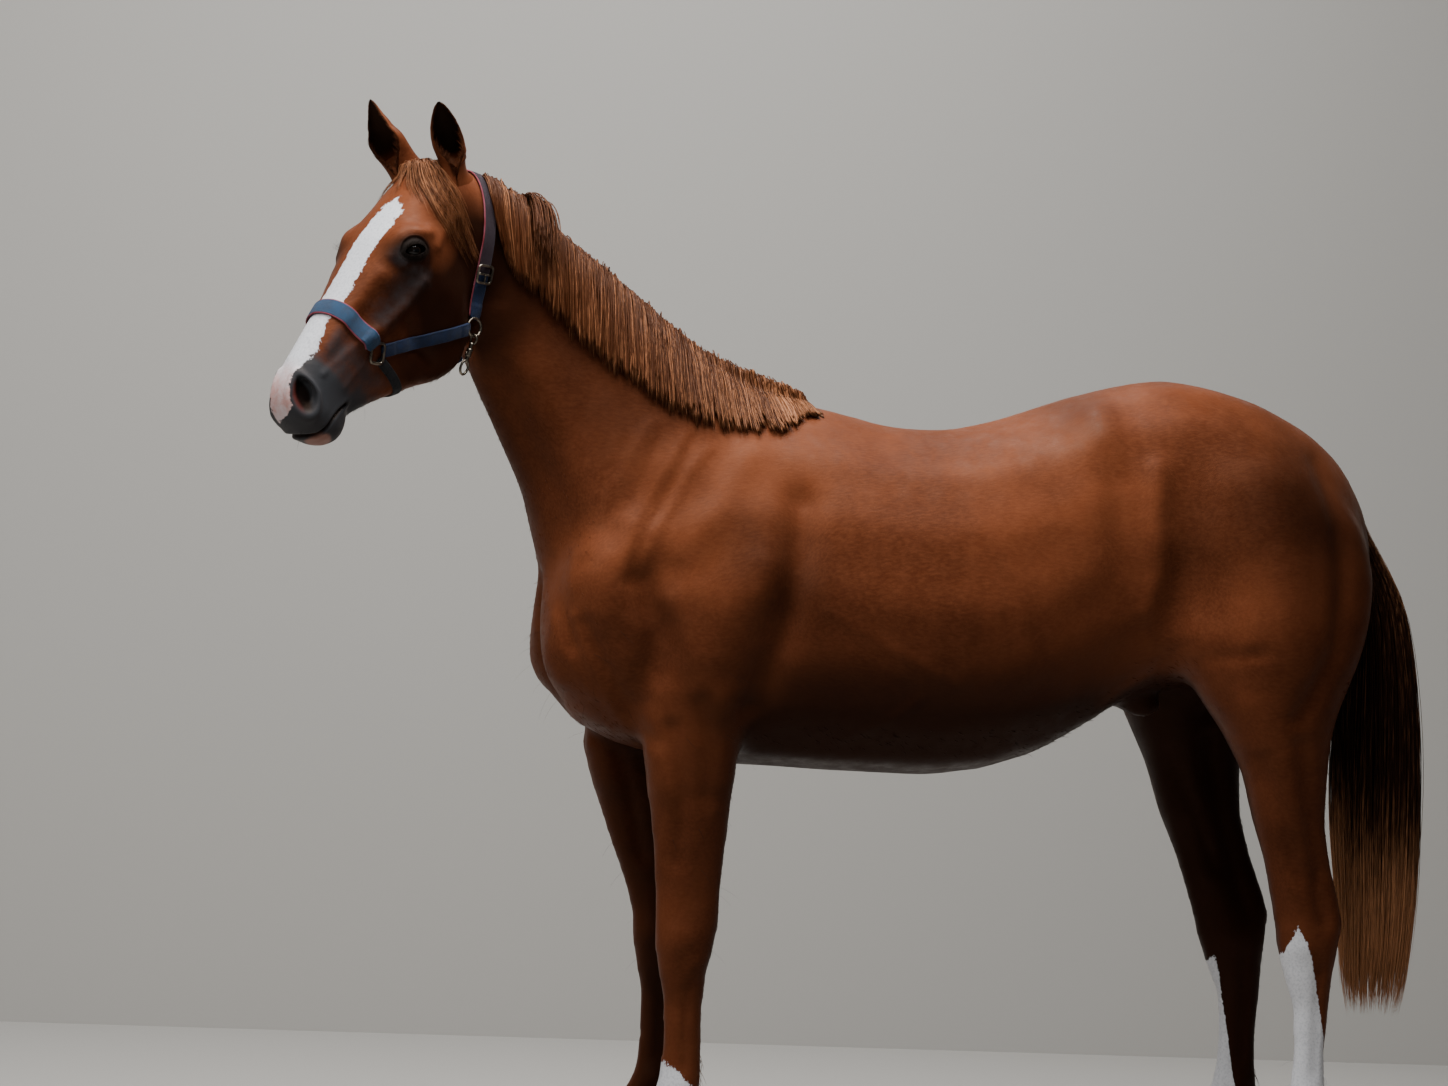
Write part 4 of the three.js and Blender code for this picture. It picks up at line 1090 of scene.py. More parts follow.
def unwrap(obj):
    bpy.ops.object.select_all(action="DESELECT")
    obj.select_set(True)
    bpy.context.view_layer.objects.active = obj
    obj.data.uv_layers.active = obj.data.uv_layers.new(name=BAKE_MAP)
    bpy.ops.object.mode_set(mode="EDIT")
    bpy.ops.mesh.select_all(action="SELECT")
    bpy.ops.uv.smart_project(angle_limit=1.15, island_margin=0.004, scale_to_bounds=True)
    bpy.ops.object.mode_set(mode="OBJECT")


def face_places(obj):
    """The middle of each face on the unwrap."""
    places = np.empty(len(obj.data.loops) * 2, np.float32)
    obj.data.uv_layers[BAKE_MAP].uv.foreach_get("vector", places)
    starts = np.empty(len(obj.data.polygons), np.int32)
    obj.data.polygons.foreach_get("loop_start", starts)
    sums = np.add.reduceat(places.reshape(-1, 2), starts, axis=0)
    counts = np.diff(np.append(starts, len(obj.data.loops)))
    return sums / counts[:, None]


unwrap(skin)
skin_places = face_places(skin)
skin_tree = surface_tree(skin_points, skin_faces[:bare_count])  # without ears


# ---- hair: tapering locks of solid mesh ---------------------------------------------------------
LOCK_SIDES = 3


def unit(vectors):
    return vectors / np.maximum(np.linalg.norm(vectors, axis=-1, keepdims=True), 1e-9)


def nearest_skin(points, tree=None):
    """For each point: the nearest place on the skin, its normal and its face."""
    flat = np.asarray(points, float).reshape(-1, 3)
    found = [(tree or skin_tree).find_nearest(point) for point in flat.tolist()]
    places = np.array([hit[0] for hit in found]).reshape(np.shape(points))
    normals = np.array([hit[1] for hit in found]).reshape(np.shape(points))
    return places, normals, np.array([hit[2] for hit in found])


def clear_of_skin(paths, lifts):
    """Raises the points of the paths that lie lower over the skin than their lifts."""
    places, normals, _ = nearest_skin(paths)
    height = ((paths - places) * normals).sum(axis=-1)
    short = np.maximum(lifts - height, 0)
    return paths + normals * short[..., None]


def eased(paths, rounds):
    """Rounds the paths' bends, with their ends held."""
    for _ in range(rounds):
        inner = (paths[:, :-2] + 2 * paths[:, 1:-1] + paths[:, 2:]) / 4
        paths = np.concatenate([paths[:, :1], inner, paths[:, -1:]], axis=1)
    return paths


class Locks:
    """Closed locks along paths (locks, rows, 3), wide across their outward direction."""

    def __init__(self, paths, outward, widths, flatness=0.45, **fields):
        """Widths are half widths; a field holds one value a lock, or one for each of its rows."""
        count, rows, _ = paths.shape
        run = unit(np.gradient(paths, axis=1))
        side = unit(np.cross(outward, run))
        lift = np.cross(run, side)
        turns = np.arange(LOCK_SIDES) * 2 * math.pi / LOCK_SIDES + math.pi / 2
        ring = (np.cos(turns)[:, None] * side[:, :-1, None] +
                flatness * np.sin(turns)[:, None] * lift[:, :-1, None])
        rings = paths[:, :-1, None] + ring * widths[:, :-1, None, None]
        stems = rings.reshape(count, -1, 3)
        self.points = np.concatenate([stems, paths[:, -1:]], axis=1)
        self.roots = paths[:, 0]
        self.size = self.points.shape[1]
        row, k = np.meshgrid(np.arange(rows - 2), np.arange(LOCK_SIDES), indexing="ij")
        here, after = row * LOCK_SIDES + k, row * LOCK_SIDES + (k + 1) % LOCK_SIDES
        quads = np.stack([here, after, after + LOCK_SIDES, here + LOCK_SIDES], axis=-1).reshape(-1, 4)
        last = (rows - 2) * LOCK_SIDES
        k = np.arange(LOCK_SIDES)
        end = np.full(LOCK_SIDES, self.size - 1)
        tip = np.stack([last + k, last + (k + 1) % LOCK_SIDES, end], axis=-1)
        self.faces = [quads, np.concatenate([tip, [k[::-1]]])]
        share = np.append(np.repeat(np.arange(rows - 1) / (rows - 1), LOCK_SIDES), 1.0)
        turn = np.append(np.tile(k / LOCK_SIDES, rows - 1), 0.5)
        self.patch = np.stack([share - 0.5, turn - 0.5], axis=1) * PATCH
        self.fields = {"along": np.tile(share, (count, 1))}
        for name, values in fields.items():
            values = np.asarray(values, float)
            if values.ndim == 1:
                values = np.repeat(values[:, None], rows, axis=1)
            stem = np.repeat(values[:, :-1], LOCK_SIDES, axis=1)
            self.fields[name] = np.concatenate([stem, values[:, -1:]], axis=1)


def hair_piece(name, bundles, nodes, material, tree=None):
    """One object from several bundles of locks, with each lock's patch at its root's place."""
    points, faces, places, fields = [], [], [], {}
    start = 0
    for locks in bundles:
        count = len(locks.points)
        shifts = start + np.arange(count)[:, None, None] * locks.size
        for shape in locks.faces:
            faces += (shape[None] + shifts).reshape(-1, shape.shape[1]).tolist()
        _, _, touched = nearest_skin(locks.roots, tree)
        places.append((skin_places[touched][:, None] + locks.patch[None]).reshape(-1, 2))
        points.append(locks.points.reshape(-1, 3))
        for field, values in locks.fields.items():
            fields.setdefault(field, []).append(values.reshape(-1))
        start += count * locks.size
    obj = make_mesh(name, np.concatenate(points), faces)
    attributes(obj, {field: np.concatenate(values) for field, values in fields.items()})
    corners = np.empty(len(obj.data.loops), np.int32)
    obj.data.loops.foreach_get("vertex_index", corners)
    layer = obj.data.uv_layers.new(name=BAKE_MAP)
    layer.uv.foreach_set("vector", np.concatenate(places)[corners].astype(np.float32).ravel())
    place_piece(obj, nodes, material)


def gathered(paths, guides, start, pull):
    """Draws each lock's lower part towards one of the guides, so that strands lie in bunches."""
    tips = paths[:, -1]
    chosen = rng.choice(len(paths), guides, replace=False)
    near = np.argmin(np.linalg.norm(tips[:, None] - tips[None, chosen], axis=2), axis=1)
    guide = paths[chosen][near]
    share = pull * np.clip((np.linspace(0, 1, paths.shape[1]) - start) / (1 - start), 0, 1)
    return paths + (guide - paths) * share[None, :, None]


# ---- mane ---------------------------------------------------------------------------------------
MANE_START, MANE_END = -0.545, 0.142
MANE_ROWS = 13
MANE_FLATNESS = 0.30
# Along y: the height of the mane's lower edge, that of its top, and how far back a lock's tip lies.
MANE_TIPS = [
    (-0.60, 1.930), (-0.540, 1.905), (-0.510, 1.876), (-0.484, 1.802), (-0.446, 1.766),
    (-0.397, 1.732), (-0.333, 1.668), (-0.292, 1.637), (-0.208, 1.584), (-0.165, 1.556),
    (-0.083, 1.523), (-0.004, 1.517), (0.092, 1.522), (0.139, 1.552), (0.175, 1.590),
]
MANE_TOP = [
    (-0.60, 1.998), (-0.540, 2.010), (-0.511, 2.010), (-0.483, 1.988), (-0.462, 1.986),
    (-0.440, 1.984), (-0.420, 1.968), (-0.400, 1.938), (-0.349, 1.900), (-0.274, 1.861),
    (-0.172, 1.786), (-0.071, 1.712), (0.049, 1.662), (0.119, 1.630), (0.165, 1.602),
]
MANE_DRIFT = [(-0.56, 0.045), (-0.45, 0.018), (-0.25, 0.004), (-0.05, 0.012), (0.05, 0.030),
              (0.142, 0.022)]
# How blond the mane is, along y: red at the poll, blond at the withers.
MANE_TONE = [(-0.56, 0.04), (-0.40, 0.07), (-0.15, 0.16), (0.05, 0.50), (0.14, 0.85)]
MANE_SHORT_SHARE = 0.12  # of the locks, which end well above the lower edge


CREST_SPAN, CREST_SWEEP = (-0.60, 0.20), (-0.06, 0.24)  # along y, across x
ABOVE_HORSE, BESIDE_HORSE = 2.3, 0.8


def blurred(values, weights):
    """The values, each with its neighbours' weighted in; the ends carry on as they are."""
    return np.convolve(np.pad(values, len(weights) // 2, mode="edge"), weights, mode="valid")


def crest_line():
    """The top of the neck: for stations along y, its x and z."""
    stations = np.linspace(*CREST_SPAN, 81)
    xs, zs = [], []
    for y in stations:
        best = (-1.0, 0.0)
        for x in np.linspace(*CREST_SWEEP, 61):
            hit = first_hit(skin_tree, on_body(x, y, ABOVE_HORSE), DOWN)
            if hit is not None and hit.z > best[0]:
                best = (hit.z, x)
        zs.append(best[0])
        xs.append(best[1])
    blur = np.array([1, 2, 3, 2, 1]) / 9
    return stations, blurred(xs, blur), blurred(zs, blur)


CREST = crest_line()


def left_surface(ys, zs, fallback):
    """The skin's x on its left side at each (y, z), or the fallback above it."""
    flat = []
    for y, z, other in zip(ys.ravel(), zs.ravel(), fallback.ravel()):
        hit = first_hit(skin_tree, on_body(BESIDE_HORSE, y, z), RIGHTWARD)
        flat.append(other if hit is None else hit.x - ORIGIN[0])
    return np.array(flat).reshape(ys.shape)


def mane_locks(count, layer_low, layer_high, half_low, half_high, shorten):
    """Paths, half widths, tones and depths of locks that fall from the crest to the left."""
    stations, crest_x, crest_z = CREST
    root_y = rng.uniform(MANE_START, MANE_END, count)
    layer = rng.uniform(layer_low, layer_high, count)
    top_x, top_z = np.interp(root_y, stations, crest_x), np.interp(root_y, stations, crest_z)
    drift = np.interp(root_y, *np.array(MANE_DRIFT).T) + rng.normal(0, 0.006, count)
    end_y = root_y + drift
    end_z = np.interp(end_y, *np.array(MANE_TIPS).T) + rng.normal(0, 0.006, count)
    end_z += rng.exponential(0.010, count) + shorten * rng.uniform(0.2, 1, count)
    end_z = np.minimum(end_z, top_z - 0.03)
    short = rng.uniform(0, 1, count) < MANE_SHORT_SHARE
    end_z += short * rng.uniform(0.1, 0.5, count) * (top_z - end_z)
    full = np.maximum(np.interp(root_y, *np.array(MANE_TOP).T) - top_z, 0.012)
    lift = full * (0.35 + 0.6 * layer)
    t = np.linspace(0, 1, MANE_ROWS)[None] ** 1.25
    z = (top_z + lift)[:, None] * (1 - t) + end_z[:, None] * t
    wave = rng.normal(0, 0.0022, (count, 1)) * np.sin(t * math.pi * rng.uniform(1.2, 2.6, (count, 1)))
    y = root_y[:, None] + drift[:, None] * t ** 1.2 + wave
    under = np.minimum(z, (top_z - 0.004)[:, None])
    surface = left_surface(y, under, np.repeat(top_x[:, None], MANE_ROWS, axis=1))
    away = 0.003 + 0.012 * layer[:, None] * np.clip(t / 0.25, 0, 1) * (1 - 0.25 * t)
    x = surface + away
    x[:, 0] = top_x + rng.uniform(-0.016, 0.006, count) * (0.4 + layer)
    x[:, 1] = (x[:, 0] + x[:, 2]) / 2
    z[:, 0] = top_z - 0.004
    paths = np.stack([x, y, z], axis=-1) + ORIGIN
    paths = eased(paths, 3)
    paths = clear_of_skin(paths, (0.002 + 0.010 * layer[:, None] * np.clip(t / 0.2, 0, 1)))
    paths[:, 0] -= (0, 0, 0.004)
    half = rng.uniform(half_low, half_high, count)[:, None]
    widths = half * (0.75 + 0.25 * np.sin(np.clip(t * 3, 0, 1) * math.pi / 2)) * (1 - 0.55 * t ** 4)
    tone = np.interp(root_y, *np.array(MANE_TONE).T)
    tone = tone[:, None] * (0.45 + 0.55 * t) + rng.normal(0, 0.26, count)[:, None]
    # The mane's inner layers take painted shade through the deep field.
    deep = np.repeat((1 - layer)[:, None], MANE_ROWS, axis=1)
    return paths, widths, tone, deep


TUFT_STRETCH = (-0.465, -0.430)  # along y
MANE_TUFT_LOCKS = 90


def mane_tuft(count):
    """The bunch of hair that stands up behind the crownpiece and falls over to the left."""
    stations, crest_x, crest_z = CREST
    root_y = rng.uniform(*TUFT_STRETCH, count)
    top_x, top_z = np.interp(root_y, stations, crest_x), np.interp(root_y, stations, crest_z)
    t = np.linspace(0, 1, MANE_ROWS)[None]
    reach = rng.uniform(0.020, 0.055, count)[:, None]
    y = root_y[:, None] + reach * np.sin(np.clip(t * 1.35, 0, 1) * math.pi / 2)
    rise = rng.uniform(0.022, 0.036, count)[:, None]
    fall = rng.uniform(0.10, 0.20, count)[:, None]
    z = top_z[:, None] + rise * np.sin(np.clip(t * 2.0, 0, 1) * math.pi / 2)
    z = z - fall * np.clip(t - 0.30, 0, 1) ** 1.2
    z -= 0.45 * reach * t
    x = top_x[:, None] + rng.normal(0, 0.006, count)[:, None] + 0.085 * t ** 1.3
    paths = np.stack([x, y, z], axis=-1) + ORIGIN
    paths = clear_of_skin(eased(paths, 2), np.full(t.shape, 0.010) + rng.uniform(0, 0.008, (count, 1)))
    widths = rng.uniform(0.0010, 0.0022, count)[:, None] * (1 - 0.6 * t ** 3)
    tone = np.full((count, MANE_ROWS), 0.15) + rng.normal(0, 0.12, count)[:, None]
    return paths, widths, tone, np.full((count, MANE_ROWS), 0.2)


LEFTWARD = np.array([0.80, -0.05, 0.60]) / np.linalg.norm([0.80, -0.05, 0.60])
# From the skin out: locks, place in the mane's depth, half width, shorter by, bunches.
MANE_LAYERS = [
    (620, 0.0, 0.35, 0.0050, 0.0075, 0.090, 0),
    (1250, 0.3, 1.0, 0.0020, 0.0040, 0.0, 240),
    (1500, 0.6, 1.15, 0.0008, 0.0017, 0.0, 240),
]


def make_mane(material):
    layers = []
    for count, low, high, half_low, half_high, shorten, bunches in MANE_LAYERS:
        paths, widths, tone, deep = mane_locks(count, low, high, half_low, half_high, shorten)
        if bunches:
            paths = gathered(paths, bunches, 0.15, 0.6)
        layers.append(Locks(paths, LEFTWARD, widths, MANE_FLATNESS, tone=tone, deep=deep))
    paths, widths, tone, deep = mane_tuft(MANE_TUFT_LOCKS)
    tuft = Locks(paths, LEFTWARD, widths, MANE_FLATNESS, tone=tone, deep=deep)
    hair_piece("mane_hair_inner", layers[:2], [], material)
    hair_piece("mane_hair_outer", [layers[2], tuft], ["mane"], material)


# ---- forelock -----------------------------------------------------------------------------------
# A strand's line over the forehead: [share, along, side, face].
FORELOCK_NEAR = [(0, -0.012, 0.036, 0.010), (0.3, 0.022, 0.072, -0.055), (0.55, 0.046, 0.084, -0.110),
                 (0.8, 0.068, 0.085, -0.162), (1, 0.088, 0.082, -0.205)]
FORELOCK_MIDDLE = [(0, -0.012, 0.022, 0.014), (0.2, 0.030, 0.040, -0.014), (0.4, 0.060, 0.070, -0.040),
                   (0.6, 0.082, 0.090, -0.075), (0.8, 0.095, 0.090, -0.125), (1, 0.106, 0.081, -0.200)]
FORELOCK_FRONT = [(0, -0.012, 0.000, 0.016), (0.3, 0.050, 0.040, -0.010), (0.55, 0.090, 0.080, -0.050),
                  (0.75, 0.110, 0.097, -0.090), (1, 0.116, 0.088, -0.140)]
FORELOCK_BROW = [(0, -0.012, -0.020, 0.014), (0.4, 0.050, -0.006, 0.004), (0.7, 0.085, 0.015, -0.006),
                 (1, 0.112, 0.036, -0.012)]
FORELOCK_FAR = [(0, -0.012, -0.030, 0.012), (0.25, 0.015, -0.034, 0.006), (0.5, 0.040, -0.046, -0.004),
                (0.75, 0.064, -0.062, -0.024), (1, 0.085, -0.076, -0.050)]
FORELOCK_ROWS = 15


def along_line(line, t):
    columns = np.array(line).T
    return np.stack([np.interp(t, columns[0], column) for column in columns[1:]], axis=-1)


def forelock_locks(count, first, second, low, high, half_low, half_high):
    """Strands that lie on the forehead anywhere between two lines."""
    t = np.linspace(0, 1, FORELOCK_ROWS)[None]
    reach = rng.uniform(low, high, count)[:, None]
    blend = rng.uniform(0, 1, count)[:, None, None]
    places = along_line(first, t * reach) * (1 - blend) + along_line(second, t * reach) * blend
    spread = rng.normal(0, 0.006, (count, 1, 2)) * (0.5 + t[..., None])
    places[..., 0] += spread[..., 0] - 0.010 * rng.uniform(0, 1, (count, 1)) * (1 - t)
    places[..., 1] += spread[..., 1]
    lift = rng.uniform(0.0015, 0.007, count)[:, None] * np.sin(np.clip(t * 2.5, 0, 1) * math.pi / 2)
    lift = lift + rng.uniform(0.006, 0.020, count)[:, None] * bell(t * reach - 0.11, 0.08)
    paths = POLL + places @ np.stack([ALONG, SIDE, FACE])
    snapped, normals, _ = nearest_skin(paths)
    paths = eased(snapped + normals * (lift + 0.0005)[..., None], 3)
    paths = gathered(paths, max(count // 5, 4), 0.1, 0.45)
    paths = clear_of_skin(paths, lift * 0.6 + 0.0008)
    paths[:, 0] = snapped[:, 0] - normals[:, 0] * 0.004
    widths = rng.uniform(half_low, half_high, count)[:, None] * (1 - 0.70 * t ** 2.5)
    tone = rng.normal(0.42, 0.22, count)
    return Locks(paths, normals, widths, tone=tone, deep=rng.uniform(0, 0.3, count))


def poll_locks(count):
    """Hair over the poll between the ears, from the forelock back to the mane."""
    t = np.linspace(0, 1, FORELOCK_ROWS)[None]
    along = rng.uniform(-0.050, 0.004, count)[:, None] + 0.030 * t
    side = rng.normal(0.004, 0.020, count)[:, None] + rng.uniform(0.02, 0.06, count)[:, None] * t
    face = 0.02 - 0.4 * np.abs(side)
    paths = POLL + np.stack([along, side, face], axis=-1) @ np.stack([ALONG, SIDE, FACE])
    snapped, normals, _ = nearest_skin(paths)
    arch = np.sin(np.clip(t * 1.6, 0, 1) * math.pi) ** 0.6
    rise = rng.uniform(0.004, 0.015, count)[:, None] * arch + 0.0015
    paths = eased(snapped + normals * rise[..., None], 2)
    paths[:, 0] = snapped[:, 0] - normals[:, 0] * 0.004
    widths = rng.uniform(0.0008, 0.0018, count)[:, None] * (1 - 0.7 * t ** 3)
    return Locks(paths, normals, widths, tone=rng.normal(0.25, 0.16, count), deep=np.full(count, 0.2))


POLL_LOCKS = 320
# Bundles of strands between two lines: strands, the lines, how far down them, half width.
FORELOCK_BUNDLES = [
    (170, FORELOCK_MIDDLE, FORELOCK_FRONT, 0.50, 1.08, 0.0004, 0.0009),
    (110, FORELOCK_MIDDLE, FORELOCK_FRONT, 0.25, 0.60, 0.0009, 0.0016),
    (150, FORELOCK_NEAR, FORELOCK_MIDDLE, 0.45, 1.08, 0.0004, 0.0009),
    (90, FORELOCK_NEAR, FORELOCK_MIDDLE, 0.20, 0.50, 0.0009, 0.0016),
    (60, FORELOCK_FRONT, FORELOCK_BROW, 0.30, 0.80, 0.0004, 0.0009),
    (26, FORELOCK_BROW, FORELOCK_FAR, 0.30, 0.9, 0.0004, 0.0008),
    (60, FORELOCK_FAR, FORELOCK_FAR, 0.4, 1.0, 0.0005, 0.0010),
]


def make_forelock(material):
    bundles = [poll_locks(POLL_LOCKS)] + [forelock_locks(*bundle) for bundle in FORELOCK_BUNDLES]
    hair_piece("forelock_hair", bundles, ["forelock"], material)


# ---- tail ---------------------------------------------------------------------------------------
# Down the tail's flesh: [y, height, radius].
DOCK = [(1.180, 1.564, 0.042), (1.244, 1.530, 0.033), (1.286, 1.476, 0.027), (1.306, 1.414, 0.022),
        (1.314, 1.354, 0.014)]
# The hair's outline: [height, front y, rear y, half width].
TAIL = [(1.545, 1.252, 1.292, 0.024), (1.506, 1.262, 1.322, 0.034), (1.444, 1.280, 1.350, 0.044),
        (1.362, 1.296, 1.388, 0.054), (1.238, 1.305, 1.436, 0.066), (1.093, 1.299, 1.463, 0.078),
        (0.949, 1.295, 1.480, 0.082), (0.804, 1.299, 1.486, 0.080), (0.670, 1.314, 1.488, 0.070),
        (0.546, 1.328, 1.482, 0.058), (0.453, 1.335, 1.474, 0.044), (0.397, 1.350, 1.462, 0.026)]
TAIL_ROWS = 20
TAIL_JOIN = 0.22  # how far below its root a lock reaches the outline


def tail_locks(count, spread_low, spread_high, half_low, half_high, end_low, end_high):
    """Locks from the dock down to their ends, spread round the middle of the tail's outline."""
    heights, fronts, rears, halves = np.array(TAIL[::-1]).T
    turn = rng.uniform(0, 2 * math.pi, count)
    spread = np.sqrt(rng.uniform(spread_low ** 2, spread_high ** 2, count))
    across, back = spread * np.cos(turn), spread * np.sin(turn)
    dock_share = np.clip(0.46 - 0.42 * back + rng.normal(0, 0.10, count), 0.46, 0.98)
    dock_y, dock_z, dock_r = (np.interp(dock_share, np.linspace(0, 1, len(DOCK)), column)
                              for column in np.array(DOCK).T)
    root = np.stack([dock_r * 0.9 * across, dock_y + dock_r * 0.75 * np.maximum(back, -0.6),
                     dock_z + dock_r * 0.45 * back], axis=1)
    end = rng.uniform(end_low, end_high, count)
    t = np.linspace(0, 1, TAIL_ROWS)[None]
    z = root[:, 2:] * (1 - t) + end[:, None] * t
    front, rear, half = (np.interp(z, heights, column) for column in (fronts, rears, halves))
    swing = rng.normal(0, 0.05, (count, 1)) * np.sin(t * math.pi * rng.uniform(0.8, 1.8, (count, 1)))
    target_y = (front + rear) / 2 + (rear - front) / 2 * np.clip(back[:, None] + swing, -1, 1)
    target_x = half * np.clip(across[:, None] + swing[::-1], -1, 1)
    fall = root[:, 2:] - z
    joined = ramp(fall, 0.0, TAIL_JOIN)
    y = root[:, 1:2] + 0.22 * fall * (1 - joined)
    y = y * (1 - joined) + target_y * joined
    x = root[:, 0:1] * (1 - joined) + target_x * joined
    paths = eased(np.stack([x, y, z], axis=-1), 2) + ORIGIN
    outward = unit(np.stack([across, back, np.full(count, 0.15)], axis=1))[:, None]
    thin = 1 - 0.75 * np.clip((t - 0.72) / 0.28, 0, 1) ** 1.3
    widths = rng.uniform(half_low, half_high, count)[:, None] * thin
    low = ramp(z, 0.92, 0.52)
    fringe = ramp(-back[:, None], 0.55, 0.95) * ramp(z, 0.95, 0.70)
    # Painted highlight: the tail's upper rear locks are lighter where light catches them.
    outer = ramp(back[:, None], 0.5, 0.95) * ramp(z, 1.05, 1.35)
    tone = np.maximum.reduce([0.86 * low, 0.95 * fringe, 0.34 * outer]) + rng.normal(0, 0.09, (count, 1))
    # The tail's inner locks take painted shade through the deep field.
    return Locks(paths, np.broadcast_to(outward, paths.shape), widths, tone=tone, deep=1 - spread)


# Bundles: locks, share of the outline they fill, half width, height of their ends.
TAIL_INNER = [
    (500, 0.0, 0.82, 0.0050, 0.0075, 0.46, 0.75),
    (700, 0.3, 0.95, 0.0018, 0.0030, 0.40, 0.66),
]
TAIL_OUTER = [(1500, 0.80, 1.0, 0.0010, 0.0022, 0.395, 0.62)]


def make_tail(material):
    for name, layers, nodes in (("inner", TAIL_INNER, []), ("outer", TAIL_OUTER, ["tail"])):
        bundles = [tail_locks(*layer) for layer in layers]
        hair_piece("tail_hair_" + name, bundles, nodes, material)


def hair_look(name, low, high, dark, gloss):
    """Hair from its low tone to its high one, with painted shade between the strands, in the deeper locks
    and at their roots.
    """
    look = Look(name)
    streak = look.noise(1100, 2, 0.5, (1, 1, 0.04))
    strands = look.noise(170, 3, 0.6, (1, 1, 0.08))
    tone = look.maths("ADD", look.field("tone"), look.span(strands, 0.3, 0.7, -0.18, 0.18))
    colour = look.layered(low, [
        (look.span(tone, 0.0, 1.0), high),
        (look.span(look.field("deep"), 0.2, 1.0, 0, 0.7), dark),
        (look.span(streak, 0.35, 0.60, 0.22, 0.0), dark),
        (look.span(look.field("along"), 0.0, 0.22, 0.35, 0.0), dark),
    ])
    normal = look.bump(streak, 0.0004, 0.5)
    rough = look.span(strands, 0.3, 0.7, gloss, gloss + 0.12)
    return look.finish(colour, rough, normal, Specular_IOR_Level=0.15,
                       Specular_Tint=(1.0, 0.74, 0.55, 1))


MANE_RED = (0.066, 0.019, 0.0065)
MANE_BLOND = (0.390, 0.155, 0.068)
MANE_SHADE = (0.018, 0.006, 0.003)
TAIL_BROWN = (0.016, 0.0050, 0.0020)
TAIL_BLOND = (0.460, 0.200, 0.090)
TAIL_SHADE = (0.004, 0.002, 0.0015)
mane_look = hair_look("mane_hair", MANE_RED, MANE_BLOND, MANE_SHADE, 0.38)
make_mane(mane_look)
make_forelock(mane_look)
make_tail(hair_look("tail_hair", TAIL_BROWN, TAIL_BLOND, TAIL_SHADE, 0.40))


# ---- the coat -----------------------------------------------------------------------------------
CHESTNUT = (0.152, 0.041, 0.0155)
CHESTNUT_DEEP = (0.086, 0.0220, 0.0085)
CHESTNUT_LIGHT = (0.230, 0.070, 0.028)
SHADOW_BROWN = (0.012, 0.0034, 0.0016)
DARK_SKIN = (0.034, 0.036, 0.040)
HOLLOW_SHADE = (0.0035, 0.0020, 0.0020)
WHITE_HAIR = (0.60, 0.60, 0.62)
GREY_HAIR = (0.34, 0.35, 0.38)
EAR_SHADE = (0.012, 0.0050, 0.0028)
LID_BLACK = (0.0045, 0.0043, 0.0046)
PINK_SKIN = (0.50, 0.27, 0.24)
NOSTRIL_FLESH = (0.110, 0.022, 0.018)
LIP_PINK = (0.240, 0.120, 0.095)


def coat_look():
    """Chestnut hair, from its shades up to the white markings and the bare skin."""
    look = Look("chestnut_coat")
    broad = look.noise(3.5, 4)
    fine = look.noise(38, 5, 0.65)
    hairs = look.noise(420, 3, 0.6, (1, 0.16, 0.42), (math.radians(22), 0, 0))
    jagged = look.noise(55, 4, 0.7)
    tufted = look.noise(210, 3, 0.6)
    dark = look.span(look.swayed(look.field("dark"), fine, 0.5), 0.25, 0.85)
    edge = look.swayed(look.swayed(look.field("white"), jagged, 0.020), tufted, 0.012)
    snow = look.mix(look.span(tufted, 0.40, 0.75, 0, 0.55), WHITE_HAIR, GREY_HAIR)
    pink = look.mix(look.span(fine, 0.35, 0.65, 0.45, 0.95), WHITE_HAIR, PINK_SKIN)
    mottled = look.swayed(look.field("lip"), fine, 0.8)
    colour = look.layered(CHESTNUT_DEEP, [
        (look.span(broad, 0.35, 0.68), CHESTNUT),
        (look.span(fine, 0.42, 0.85, 0, 0.22), CHESTNUT_LIGHT),
        (look.span(hairs, 0.3, 0.75, 0, 0.26), CHESTNUT_LIGHT),
        # Painted shade: the shade field darkens the coat towards shadow brown.
        (look.maths("MULTIPLY", look.field("shade"), 0.97), SHADOW_BROWN),
        (dark, DARK_SKIN),
        (look.span(edge, -0.0010, 0.0010), look.mix(look.field("pink"), snow, pink)),
        (look.span(mottled, 0.35, 0.75, 0, 0.9), LIP_PINK),
        # Painted shade on the ears.
        (look.span(look.field("ear"), 0.1, 0.9), EAR_SHADE),
        (look.span(look.field("lid"), 0.0, 0.8), LID_BLACK),
        # Painted shade in the nostrils and the mouth's line.
        (look.field("hollow"), HOLLOW_SHADE),
        (look.maths("MULTIPLY", look.field("flesh"), 0.8), NOSTRIL_FLESH),
    ])
    swell = look.noise(9, 2, 0.5)
    cow_lick = look.noise(24, 3, 0.6)
    normal = look.bump(hairs, 0.0006, 0.5)
    normal = look.bump(fine, 0.0012, 0.25, normal)
    normal = look.bump(swell, 0.0045, 0.35, normal)
    licked = look.span(cow_lick, 0.3, 0.7, 0.20, 0.32)
    rough = look.maths("ADD", licked, look.span(fine, 0.3, 0.7, 0.16, 0.28))
    rough = look.maths("ADD", rough, look.span(look.field("lid"), 0.0, 0.8, 0.0, 0.26))
    return look.finish(colour, rough, normal, Sheen_Weight=0.02, Sheen_Roughness=0.45,
                       Sheen_Tint=(0.90, 0.48, 0.28, 1), Specular_IOR_Level=0.10,
                       Specular_Tint=(1.0, 0.62, 0.40, 1))


coat_material = coat_look()
skin.data.materials.append(coat_material)


# ---- tufts: short hair where it breaks the form -------------------------------------------------
TUFT_ROWS = 5


